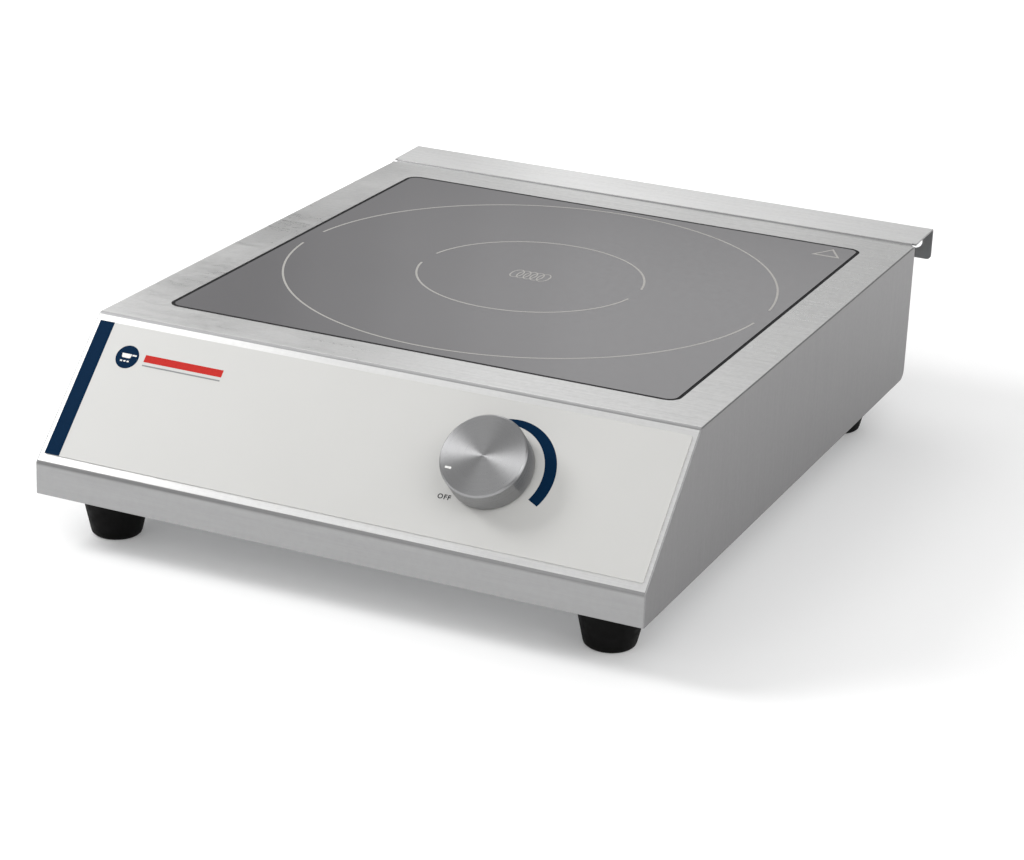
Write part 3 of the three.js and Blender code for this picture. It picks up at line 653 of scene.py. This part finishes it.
def casing_block():
    """The casing's outer form, with rounded folds and side edges and a round heel."""
    lip_foot, lower_fold, upper_fold, rear_top = side_path()
    rear = rear_top[0]
    outline = rounded([rear_top, upper_fold, lower_fold, lip_foot, (rear, BOTTOM)], [0, 0, 0, 0, HEEL], 8)
    block = prism("casing", outline, -HALF, HALF, ALONG_X)
    tiny = 0.01 * MM

    def folded(a, b):
        """The folds between lip, slope and top plate, and the side edges, but none that stay open."""
        at_rear = min(a.y, b.y) > rear - tiny
        at_bottom = max(a.z, b.z) < BOTTOM + tiny
        on_lip = max(a.y, b.y) < FRONT + tiny
        above_fold = min(a.z, b.z) > FOLD - tiny
        if at_rear or at_bottom or not (above_fold or on_lip):
            return 0
        return 1 if abs(a.x - b.x) > HALF else SIDE_BEND

    return bevel_edges(block, folded, BEND)


def casing_hollow():
    """The space inside the sheet, open below and behind."""
    inner = offset_path(side_path(), SHEET)
    behind, below = WALL + PAST, BOTTOM - PAST
    outline = [(inner[0].x, below), inner[1], inner[2], (behind, TOP - SHEET), (behind, below)]
    return prism("hollow", outline, -HALF + SHEET, HALF - SHEET, ALONG_X)


def rear_hook():
    """The strip behind the casing, bent down at its edge, with rounded lower corners."""
    overlap = 3 * MM  # of the strip and the top plate
    step_radii, fold_radius = [0.3 * MM, 0.4 * MM], 2 * MM
    step = (HOOK_START + STEP_RUN, TOP + HOOK_STEP)
    foot = HOOK_TOP - HOOK_DROP
    path = [(HOOK_START - overlap, TOP), (HOOK_START, TOP), step, (HOOK, HOOK_TOP), (HOOK, foot)]
    section = bent_sheet(path, SHEET, step_radii + [fold_radius])
    strip = prism("hook", section, -HALF, HALF, ALONG_X)
    above = HOOK_TOP + 2 * PAST
    corners = [(-HALF, foot), (HALF, foot), (HALF, above), (-HALF, above)]
    face = rounded(corners, [HOOK_CORNER, HOOK_CORNER, 0, 0], 8)
    mask = prism("corners", face, -HOOK - 4 * PAST, -WALL + 4 * PAST, ALONG_Y)
    return carve(strip, mask, "INTERSECT")


def flanges():
    """The casing's inward edges: below the sides and the lip, and upright beside the rear wall."""
    target = bmesh.new()
    in_wall = SHEET / 2
    rear = WALL - SHEET - FLANGE_GAP
    upright_low, upright_high = BOTTOM + 20 * MM, TOP - 4 * MM
    for hand in (-1, 1):
        x0, x1 = sorted((hand * (HALF - in_wall), hand * (HALF - FLANGE)))
        side = rectangle((x0, -FLANGE_REACH), (x1, FLANGE_REACH))
        add_prism(target, side, BOTTOM, BOTTOM + SHEET)
        back = rectangle((x0, rear - SHEET), (x1, rear))
        add_prism(target, back, upright_low, upright_high)
    lip = rectangle((-FLANGE_REACH, FRONT + in_wall), (FLANGE_REACH, FRONT + FLANGE))
    add_prism(target, lip, BOTTOM, BOTTOM + SHEET)
    return from_bmesh("flanges", target)


def casing_openings():
    """The window, the knob's hole, the two hook holes and the relief notches beside the strip."""
    target = bmesh.new()
    gap = Vector((WINDOW_GAP, WINDOW_GAP))
    window = rectangle(seal_low.xy - gap, seal_high.xy + gap, WINDOW_CORNER, 10)
    add_prism(target, window, TOP - PAST, TOP + PAST)
    add_prism(target, circle(SPINDLE_HOLE), -4 * SHEET, 4 * SHEET, KNOB_FRAME)
    notch_in, notch_past = NOTCH
    notch_low, notch_high = TOP - 1.5 * SHEET, TOP + 3 * SHEET
    in_wall = 0.2 * SHEET
    for hand in (-1, 1):
        spot = (hand * (HALF - HOLE_FROM_SIDE), TOP - HOLE_BELOW_TOP)
        add_prism(target, circle(HOLE_RADIUS, spot), -HOOK - PAST, -HOOK + PAST, ALONG_Y)
        x0, x1 = sorted((hand * (HALF - notch_in), hand * (HALF + SHEET)))
        notch = rectangle((x0, WALL - in_wall), (x1, HOOK_START + notch_past))
        add_prism(target, notch, notch_low, notch_high)
    return from_bmesh("openings", target)


def casing_shaded_copy(face):
    """Which lit or shaded copy of the casing's steel a face shows, by the way it faces; a face that isn't
    flat belongs to a bend, whose copy is painted darker as shade.
    """
    nearly, flat = 0.97, 0.99
    normal = face.normal
    if abs(normal.x) > nearly:
        return "side"
    if normal.y < -nearly:
        return "lip"
    if normal.dot(OUT) > flat:
        return "slope"
    if face.center.y > HOOK_START + SHEET and normal.z > nearly:
        return "strip"
    return "top" if abs(normal.z) > flat or abs(normal.y) > nearly else "bend"


def make_casing():
    """The hollowed block with the rear strip, the flanges and the openings."""
    casing = carve(casing_block(), casing_hollow())
    carve(casing, rear_hook(), "UNION")
    carve(casing, flanges(), "UNION")
    carve(casing, casing_openings())
    casing.name = "casing"
    soften(casing)
    casing.data.materials.clear()
    # Each face takes the copy of the steel for the way it faces: light and shade painted into its colour.
    for material in CASING_LIT_AND_SHADED_STEELS.values():
        casing.data.materials.append(material)
    shaded_copies = list(CASING_LIT_AND_SHADED_STEELS)
    for face in casing.data.polygons:
        face.material_index = shaded_copies.index(casing_shaded_copy(face))
    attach(casing, "casing")
    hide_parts("housing_shell")


make_casing()

# -------- base tray and its rear wall


TRAY_BEND = 6 * MM
SLOT_WIDTH = 4.4 * MM
FAN_ROWS = range(-4, 5)  # slots under the fan, counted from its middle
FAN_PITCH = 9 * MM
FAN_MARGIN = 6 * MM
VENTS, VENT_PITCH, VENT_HEIGHT = 16, 11 * MM, 34 * MM
FIRST_VENT = (-132 * MM, TOP - 38 * MM)
GLAND_HOLE = 10.3 * MM  # radii of the round holes
REAR_HOLE = 2.2 * MM
BASE_HOLE = 2.4 * MM


def make_tray():
    """The tray and the rear wall in one bent sheet, with its air slots and its holes."""
    path = [(WALL, tray_high.z), (WALL, tray_low.z), (tray_low.y, tray_low.z)]
    tray = prism("tray", bent_sheet(path, SHEET, [TRAY_BEND]), tray_low.x, tray_high.x, ALONG_X)
    openings = bmesh.new()

    def cut_base(outline):
        add_prism(openings, outline, tray_low.z - SHEET, tray_low.z + 3 * SHEET)

    def cut_wall(outline):
        add_prism(openings, outline, -WALL - SHEET, -WALL + 3 * SHEET, ALONG_Y)

    fan_low, fan_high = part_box("fan_frame")
    fan = (fan_low + fan_high) / 2
    reach = (fan_high.x - fan_low.x) / 2 - FAN_MARGIN
    for row in FAN_ROWS:
        y = row * FAN_PITCH
        cut_base(slot((fan.x, fan.y + y), 2 * math.sqrt(reach ** 2 - y ** 2), SLOT_WIDTH))
    for vent in range(VENTS):
        cut_wall(slot((FIRST_VENT[0] + vent * VENT_PITCH, FIRST_VENT[1]), SLOT_WIDTH, VENT_HEIGHT))
    for name in frame["nodes"]:
        low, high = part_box(name)
        middle = (low + high) / 2
        if name == "cable_gland":
            cut_wall(circle(GLAND_HOLE, middle.xz))
        elif name.startswith("rear_screw"):
            cut_wall(circle(REAR_HOLE, middle.xz, 20))
        elif name.startswith(("foot_screw", "base_screw")):
            cut_base(circle(BASE_HOLE, middle.xy, 20))
    carve(tray, from_bmesh("openings", openings))
    settle(tray, galvanised, "casing", ["base_tray"])


make_tray()

# -------- glass and its seal


GLASS_CORNER = 5.4 * MM
GLASS_BEVEL = 0.35 * MM


def glass_outline(inset=0.0):
    step = Vector((inset, inset))
    return rectangle(glass_low.xy + step, glass_high.xy - step, GLASS_CORNER - inset, 10)


def make_glass():
    """The plate, with a bevel round its top edge, coloured near-black: painted shade that widens the dark
    line along the seal.
    """
    target = bmesh.new()
    rings = [
        (glass_outline(), glass_low.z),
        (glass_outline(), TOP - GLASS_BEVEL),
        (glass_outline(GLASS_BEVEL), TOP),
    ]
    loops = [[target.verts.new((p.x, p.y, z)) for p in outline] for outline, z in rings]
    add_skin(target, loops)
    target.faces.new(loops[0][::-1])
    target.faces.new(loops[-1])
    glass = from_bmesh("glass", target)
    settle(glass, ceramic_glass("ceramic_glass"), "casing", ["glass_plate"], 25)
    # The bevel's near-black silicone colour is painted shade beside the seal.
    glass.data.materials.append(silicone("glass_edge_painted_shade"))
    for face in glass.data.polygons:
        level = abs(face.normal.z) > 0.9
        face.material_index = 0 if level else 1


def make_seal():
    """A silicone bead that fills the gap between the window and the glass, with a round top."""
    target = bmesh.new()
    clear = 0.02 * MM
    out = Vector((WINDOW_GAP - clear, WINDOW_GAP - clear))
    outer_low, outer_high = seal_low.xy - out, seal_high.xy + out
    width = glass_low.x - clear - outer_low.x
    foot, shoulder, flank, crown = 2.7 * MM, 0.16 * MM, 0.05 * MM, 0.02 * MM
    # Across the bead: the share of its width, and how far below the top plate.
    section = ((0, foot), (0, shoulder), (0.2, flank), (0.5, crown), (0.8, flank), (1, shoulder), (1, foot))
    loops = []
    for share, drop in section:
        inset = Vector((share * width, share * width))
        outline = rectangle(outer_low + inset, outer_high - inset, WINDOW_CORNER - clear - inset.x, 10)
        loops.append([target.verts.new((p.x, p.y, TOP - drop)) for p in outline])
    add_skin(target, loops + loops[:1])
    seal = from_bmesh("seal", target)
    settle(seal, silicone("black_silicone"), "casing", ["glass_seal"])


make_glass()
make_seal()

INK = 0.03 * MM  # thickness of a print
LIFT = 0.004 * MM  # a print's underside above what it lies on
LINE = 1.1 * MM  # width of the printed lines on the glass
RINGS_CENTRE = Vector((0, GLASS_Y + 1.3 * MM))
# Each pan ring's name, radius and, in degrees, half the gap between its two halves.
PAN_RINGS = (("pan_ring_outer", 131.8 * MM, 5), ("pan_ring_inner", 60.9 * MM, 8.4))


def add_strip(target, inner, outer, low, high, place=ALONG_Z, closed=False):
    """Adds a flat strip between two paths that have equally many points."""
    rows = []
    for a, b in zip(inner, outer):
        corners = ((a, low), (b, low), (b, high), (a, high))
        rows.append([target.verts.new(place @ Vector((p[0], p[1], z))) for p, z in corners])
    if not closed:
        target.faces.new(rows[0])
        target.faces.new(rows[-1][::-1])
    add_skin(target, rows + rows[:1] if closed else rows)


def printed(name, target, material):
    return settle(from_bmesh(name, target), material, "casing", (), 60)


def make_glass_print():
    """Two pan rings, each in two halves, a small coil sign in the middle and a plain corner triangle."""
    for name, radius, gap in PAN_RINGS:
        target = bmesh.new()
        for first in (0, 180):
            start, end = first + gap, first + 180 - gap
            inner = circle(radius - LINE / 2, RINGS_CENTRE, 96, start, end)
            outer = circle(radius + LINE / 2, RINGS_CENTRE, 96, start, end)
            add_strip(target, inner, outer, TOP + LIFT, TOP + INK)
        printed(name, target, glass_print)
    add_coil_sign()
    add_corner_triangle()


def oval(centre, half_width, half_height):
    return [(centre.x + half_width * p.x, centre.y + half_height * p.y) for p in circle(1, steps=32)]


def add_coil_sign():
    """Five tall loops of one line, each a little thicker in ink, so that no two tops coincide."""
    target = bmesh.new()
    loops, pitch, reach, height, edge = 5, 3.9 * MM, 3.1 * MM, 6.4 * MM, 0.35 * MM
    thicker = 0.1
    start = RINGS_CENTRE.x - pitch * (loops - 1) / 2
    for loop in range(loops):
        middle = Vector((start + pitch * loop, RINGS_CENTRE.y))
        inner = oval(middle, reach - edge, height - edge)
        outer = oval(middle, reach + edge, height + edge)
        add_strip(target, inner, outer, TOP + LIFT, TOP + INK * (1 + thicker * loop), closed=True)
    printed("coil_sign", target, glass_print)


def add_corner_triangle():
    """A plain outlined triangle near the glass's rear right corner."""
    target = bmesh.new()
    centre = Vector((125.5 * MM, GLASS_Y + 125 * MM))
    half_base, below, above = 8.2 * MM, 6 * MM, 8.5 * MM
    opening = 0.74  # of the outline, as a share of its size
    arms = [Vector(arm) for arm in ((-half_base, -below), (half_base, -below), (0, above))]
    points = [centre + arm for arm in arms]
    inner = [centre + arm * opening for arm in arms]
    add_strip(target, inner, points, TOP + LIFT, TOP + INK, closed=True)
    printed("corner_triangle", target, glass_print)


make_glass_print()

# -------- overlay on the slope

LABEL_HALF = Vector((160.5 * MM, 38 * MM))
LABEL_MIDDLE = Vector((0, SLOPE_LENGTH / 2 + 0.3 * MM))  # a little above the slope's middle
LABEL_LOW = LABEL_MIDDLE - LABEL_HALF
LABEL_HIGH = LABEL_MIDDLE + LABEL_HALF
LABEL_TOP = 0.5 * MM
LABEL_CORNER = 1 * MM
LABEL_HOLE = 7.5 * MM


def make_label():
    label = prism("overlay", rectangle(LABEL_LOW, LABEL_HIGH, LABEL_CORNER), 0, LABEL_TOP, SLOPE)
    carve(label, prism("hole", circle(LABEL_HOLE), -SHEET, 2 * SHEET, KNOB_FRAME))
    settle(label, overlay("printed_overlay"), "casing", ["front_label"])


STRIPE_WIDTH = 8.4 * MM
OFF_AT = Vector((52.3 * MM, 26.3 * MM))
SIGN_AT = Vector((-137.7 * MM, 64.4 * MM))
SIGN_RADIUS = 6.4 * MM
BOWL_CORNER = 0.8 * MM
RULE_CORNER = 0.3 * MM
PRINT_LOW = LABEL_TOP + LIFT
PRINT_HIGH = LABEL_TOP + INK


def label_print(name, outline, material):
    target = bmesh.new()
    add_prism(target, outline, PRINT_LOW, PRINT_HIGH, SLOPE)
    printed(name, target, material)


def make_stripe():
    outline = rectangle(LABEL_LOW, (LABEL_LOW.x + STRIPE_WIDTH, LABEL_HIGH.y))
    label_print("stripe", outline, navy)


def make_power_crescent():
    """A band round the knob that widens clockwise, between two arcs with their own centres."""
    outer_centre = (KNOB_AT.x + 5.0 * MM, KNOB_UP + 0.2 * MM)
    inner_centre = (KNOB_AT.x + 2.2 * MM, KNOB_UP + 0.3 * MM)
    outer_radius, outer_first = 27 * MM, -31.5
    inner_radius, inner_first = 23.7 * MM, -29.5
    steps, last = 60, 183
    target = bmesh.new()
    outer = circle(outer_radius, outer_centre, steps, outer_first, last)
    inner = circle(inner_radius, inner_centre, steps, inner_first, last)
    add_strip(target, inner, outer, PRINT_LOW, PRINT_HIGH, SLOPE)
    printed("power_crescent", target, navy)


def make_sign():
    """A round sign with a plain pan over three short bars, and two plain rules beside it."""

    def bar(left, foot, right, head, corner=0.0):
        """A rectangle from its four sides, in millimetres from the sign's middle."""
        return rectangle(SIGN_AT + Vector((left, foot)) * MM, SIGN_AT + Vector((right, head)) * MM, corner)

    label_print("sign_disc", circle(SIGN_RADIUS, SIGN_AT), navy)
    bowl = [SIGN_AT + Vector(p) * MM for p in ((-3.4, 1.8), (-3.0, -0.6), (1.8, -0.6), (2.2, 1.8))]
    handle = bar(2.5, 0.9, 4.9, 1.7)
    short_bars = [bar(left, -2.8, left + 1.2, -2.0) for left in (-3.2, -1.3, 0.6)]
    pan = bmesh.new()
    for outline in [rounded(bowl, [0, BOWL_CORNER, BOWL_CORNER, 0], 4), handle] + short_bars:
        add_prism(pan, outline, PRINT_HIGH + LIFT, PRINT_HIGH + INK, SLOPE)
    printed("sign_pan", pan, white_paint)
    label_print("red_rule", bar(9.7, -1.0, 54.2, 3.0, RULE_CORNER), red)
    label_print("grey_rule", bar(9.7, -3.3, 54.2, -2.5, RULE_CORNER), pale_ink)


def make_off_mark():
    """The dial's plain lettering at its zero."""
    data = bpy.data.curves.new("off_mark", "FONT")
    data.body = "OFF"
    data.size = 3.5 * MM
    data.space_character = 1.2
    data.extrude = INK / 2
    data.offset = 0.09 * MM
    data.align_x = "CENTER"
    data.align_y = "CENTER"
    text = bpy.data.objects.new("off_text", data)
    bpy.context.scene.collection.objects.link(text)
    depsgraph = bpy.context.evaluated_depsgraph_get()
    mesh = bpy.data.meshes.new_from_object(text.evaluated_get(depsgraph))
    bpy.data.objects.remove(text)
    mesh.transform(SLOPE @ Matrix.Translation((*OFF_AT, PRINT_LOW + INK / 2)))
    mark = bpy.data.objects.new("off_mark", mesh)
    bpy.context.scene.collection.objects.link(mark)
    settle(mark, grey_ink, "casing", (), 60)


make_label()
make_stripe()
make_power_crescent()
make_sign()
make_off_mark()

# -------- knob

KNOB_RADIUS = 21.6 * MM
CAP_TOP = 15.6 * MM
CAP_BASE = 1.4 * MM
CAP_SKIN = 1.1 * MM
CAP_CHAMFER = 0.9 * MM
POINTER = Vector((-14.65 * MM, -9.35 * MM))
POINTER_HALF = Vector((1.65 * MM, 0.55 * MM))
POINTER_CORNER = 0.35 * MM
PAINT = 0.05 * MM  # thickness of the painted dash


def make_knob():
    """A spun cap with a rounded hem and a chamfered rim, and the painted dash on its face."""
    edge, inside = KNOB_RADIUS, KNOB_RADIUS - CAP_SKIN
    hem, crown, dimple = 0.5 * MM, 0.1 * MM, 0.05 * MM
    profile = [
        (inside, CAP_BASE), (edge - hem, CAP_BASE), (edge - 0.3 * hem, CAP_BASE + 0.3 * hem),
        (edge, CAP_BASE + hem), (edge, CAP_TOP - CAP_CHAMFER),
        (edge - crown, CAP_TOP - 0.8 * CAP_CHAMFER), (edge - 0.8 * CAP_CHAMFER, CAP_TOP - crown),
        (edge - CAP_CHAMFER, CAP_TOP), (edge * 0.7, CAP_TOP), (edge * 0.35, CAP_TOP), (0.3 * MM, CAP_TOP),
        (0, CAP_TOP - dimple), (0, CAP_TOP - CAP_SKIN), (inside, CAP_TOP - CAP_SKIN),
    ]
    cap = turned("knob", profile, 160)
    cap.matrix_world = KNOB_FRAME
    settle(cap, spun_aluminium("spun_aluminium"), "knob", ["knob_cap"], 25)
    dash = rectangle(POINTER - POINTER_HALF, POINTER + POINTER_HALF, POINTER_CORNER)
    mark = prism("knob_mark", dash, CAP_TOP, CAP_TOP + PAINT, KNOB_FRAME)
    settle(mark, white_paint, "knob", ["knob_pointer"])


make_knob()

# -------- feet and screws


FOOT_TAPER = 5.5 * MM
FOOT_BORE, FOOT_RECESS, FOOT_SEAT = 2.6 * MM, 6 * MM, 12 * MM  # two radii, and the screw's seat
ROUND, SOFT = 0.6 * MM, 0.4 * MM  # how far the recess's lower and upper edges are eased


def make_feet():
    """Tapered rubber feet with a round lower edge and a recess for the screw's head."""
    # The lower edge, in from the base's side and up from the floor, in millimetres.
    toe = [(3, 0), (1.5, 0.35), (0.5, 1.2), (0, 2.6)]
    for end in ("front", "rear"):
        for side in ("left", "right"):
            node = f"foot_{end}_{side}"
            low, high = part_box(node)
            middle = (low + high) / 2
            reach = (high.x - low.x) / 2
            base = reach - FOOT_TAPER
            recess = [
                (FOOT_BORE, high.z), (FOOT_BORE, FOOT_SEAT), (FOOT_RECESS - SOFT, FOOT_SEAT),
                (FOOT_RECESS, FOOT_SEAT - SOFT), (FOOT_RECESS, ROUND), (FOOT_RECESS + ROUND, 0),
            ]
            edge = [(base - back * MM, up * MM) for back, up in toe]
            profile = recess + edge + [(reach, high.z)]
            foot = turned(f"{end}_{side}_foot", profile, 72, Matrix.Translation((middle.x, middle.y, 0)))
            settle(foot, black_rubber, "casing", [node])


make_feet()

HEAD_HEIGHTS = {"foot": 3 * MM, "rear": 2 * MM, "base": 2 * MM}
PITCH = 0.8 * MM  # of the threads, drawn as rings


def cross(arm, half):
    """A plain cross of four arms."""
    quarter = [(arm, -half), (arm, half), (half, half)]
    return [Matrix.Rotation(math.radians(90 * turn), 2) @ Vector(p) for turn in range(4) for p in quarter]


def make_screw(node):
    """A pan head with a cross recess and a threaded shank, in place of a CAD screw."""
    kind = node.split("_screw")[0]
    low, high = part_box(node)
    middle = (low + high) / 2
    head = HEAD_HEIGHTS[kind]
    reach = (high.x - low.x) / 2
    if kind == "rear":
        length = high.y - low.y
        forwards = Matrix.Rotation(math.radians(90), 4, "X")
        place = Matrix.Translation((middle.x, high.y, middle.z)) @ forwards
    else:
        length = high.z - low.z
        place = Matrix.Translation((middle.x, middle.y, low.z))
    shank = reach * 0.42
    core, tip = shank * 0.84, shank * 0.5
    crown, tip_height = head * 0.55, 0.6 * MM
    angles = (0, 0.35, 0.65, 0.95, 1.25, math.pi / 2)
    dome = [(reach * math.sin(a), crown * (1 - math.cos(a))) for a in angles]
    profile = dome + [(reach, head), (shank, head)]
    turns = int((length - head - MM) / PITCH)
    for i in range(turns):
        z = head + i * PITCH
        profile += [(shank, z + 0.1 * PITCH), (core, z + 0.55 * PITCH)]
    profile += [(core, length - tip_height), (tip, length), (0, length)]
    screw = turned(f"{node}_fine", profile, 32, place)
    arm, half_arm, depth = reach * 0.55, reach * 0.12, head * 0.6
    recess = prism("recess", cross(arm, half_arm), -MM, depth, place)
    settle(carve(screw, recess), zinc, "casing", [node], 30)


for node_name in [name for name in frame["nodes"] if "screw" in name]:
    make_screw(node_name)

# -------- cable gland


def make_gland():
    """A moulded gland: a ribbed dome nut over a flange, with a sealing sleeve round its bore."""
    low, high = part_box("cable_gland")
    middle = (low + high) / 2
    seat = WALL + 0.3 * MM  # the flange stands just clear of the wall
    backwards = Matrix.Rotation(math.radians(-90), 4, "X")
    place = Matrix.Translation((middle.x, seat, middle.z)) @ backwards
    ribs, rib_depth, rib_foot, rib_head, rib_reach = 24, 0.55 * MM, 5.4 * MM, 12.5 * MM, 11 * MM

    def ribbed(radius, z, angle):
        if not rib_foot < z < rib_head or radius <= rib_reach:
            return radius
        return radius - rib_depth * (0.5 + 0.5 * math.cos(ribs * angle))

    # Radius and distance from the seat, in millimetres.
    profile = [
        (6.4, -14), (9.6, -14), (10, -13.5), (10, 0), (13, 0), (13.5, 0.5), (13.5, 4.5), (13, 5),
        (11.9, 5.3), (12, 5.8), (12, 11.8), (11.2, 13), (9.4, 15.2), (8.4, 16), (7.2, 16), (6.4, 15.4),
    ]
    gland = turned("gland", [(r * MM, z * MM) for r, z in profile], 192, place, ribbed)
    settle(gland, black_plastic, "casing", ["cable_gland"], 30)
    sleeve = [(4.5, -8), (6.3, -8), (6.3, 15), (5.6, 15.6), (4.9, 15.5), (4.5, 15)]
    insert = turned("gland_insert", [(r * MM, z * MM) for r, z in sleeve], 64, place)
    settle(insert, black_rubber, "casing", [], 30)


make_gland()

# -------- materials of the remaining CAD nodes

# The looks of the CAD nodes that still show, by how their names start; the rest are black plastic.
CAD_LOOKS = {
    "glass_frame": galvanised,
    "knob_shaft": worn_brass("turned_brass"),
    "potentiometer_body": galvanised,
    "potentiometer_nut": zinc,
    "control_board": circuit_board("circuit_board"),
    "coil_winding": wound_copper("wound_copper"),
    "coil_carrier": pale_plastic,
    "mica_sheet": flaky_mica("mica"),
    "temperature_sensor": pale_plastic,
    "power_board": circuit_board("power_circuit_board"),
    "heatsink": bare_aluminium("extruded_aluminium"),
    "filter_capacitor": moulded("grey_capacitor_case", (0.33, 0.32, 0.29), 0.4),
    "resonant_capacitor": moulded("sand_capacitor_case", (0.47, 0.45, 0.38), 0.4),
    "choke": wound_copper("wound_choke"),
    "terminal_block": pale_plastic,
    "fuse": zinc,
    "coil_lead": braided("braided_sleeve", (0.25, 0.03, 0.02)),
    "control_cable": rubber("grey_cable_sheath", (0.11, 0.11, 0.115), 0.5),
    "ferrite_bar": sintered("sintered_ferrite"),
    "board_post": pale_plastic,
}


def dress_cad_nodes():
    for name, node in frame["nodes"].items():
        if not node.hide_render:
            looks = [look for start, look in CAD_LOOKS.items() if name.startswith(start)]
            node.data.materials.clear()
            node.data.materials.append(looks[0] if looks else black_plastic)


dress_cad_nodes()

# -------- floor, light and air


def make_floor():
    """A wide pale floor that glows a little, and more so away from the object."""
    reach, near, far, dim, bright = 14, 0.4, 0.9, 0.16, 0.65
    target = bmesh.new()
    square = rectangle((-reach, -reach), (reach, reach))
    target.faces.new([target.verts.new((p.x, p.y, 0)) for p in square])
    floor = from_bmesh("floor", target)
    made = Surface("pale_floor", (0.85, 0.85, 0.85), 0.9, Emission_Color=(1, 1, 1, 1))
    made.tint(made.noise(3, 2), 0.01)
    distance = made.nodes.new("ShaderNodeVectorMath")
    distance.operation = "LENGTH"
    made.links.new(made.place, distance.inputs[0])
    glow = made.spread(distance.outputs["Value"], dim, bright, near, far)
    made.links.new(glow, made.shader.inputs["Emission Strength"])
    floor.data.materials.append(made.material)


def softbox(name, direction, distance, size, radiance):
    """A rectangular light that faces the object; it lights and reflects, but isn't seen itself."""
    data = bpy.data.lights.new(name, "AREA")
    data.shape = "RECTANGLE"
    data.size, data.size_y = size
    data.energy = radiance * math.pi * size[0] * size[1]
    light = bpy.data.objects.new(name, data)
    bpy.context.scene.collection.objects.link(light)
    aim = Vector((0, 0, TOP / 2))
    back = Vector(direction).normalized()
    light.location = aim + back * distance
    light.rotation_mode = "QUATERNION"
    light.rotation_quaternion = back.to_track_quat("Z", "Y")
    light.visible_camera = False


def make_back_wall():
    """A back light that fades out towards the left: four boxes, each reaching less far left."""
    reach, radiance = 2.4, 0.2
    right_end, low_edge, height = 15, 17, 16  # degrees, like the left ends
    for step, left_end in enumerate((-31, -28, -25, -22)):
        azimuth = math.radians((left_end + right_end) / 2)
        elevation = math.radians(low_edge + height / 2)
        level = math.cos(elevation)
        direction = (math.sin(azimuth) * level, math.cos(azimuth) * level, math.sin(elevation))
        size = (reach * math.radians(right_end - left_end), reach * math.radians(height))
        softbox(f"back_{step}", direction, reach, size, radiance)


def make_world():
    world = bpy.data.worlds.new("studio")
    world.use_nodes = True
    background = world.node_tree.nodes["Background"]
    background.inputs["Color"].default_value = (1, 1, 1, 1)
    background.inputs["Strength"].default_value = 0.2
    bpy.context.scene.world = world


make_floor()
# Each softbox's direction from the object, distance, width and height, and radiance.
softbox("key", (-0.745, -0.24, 0.62), 1.5, (0.5, 0.5), 15.5)
softbox("ceiling", (0, 0, 1), 1.8, (3.2, 3.2), 0.45)
softbox("front_right", (0.6, -0.45, 0.66), 2.2, (1.4, 1.2), 2.0)
softbox("low_right", (1, -0.1, 0.55), 2.2, (2.2, 1.1), 1.2)
softbox("low_front", (0, -1, 0.55), 2.2, (2.0, 1.1), 1.2)
softbox("back_left", (-0.45, 0.45, 0.77), 2.0, (1.4, 1.2), 1.5)
softbox("left", (-0.75, 0.6, 0.3), 2.0, (0.9, 0.6), 1.05)
make_back_wall()
make_world()
bpy.context.scene.view_settings.view_transform = "Standard"
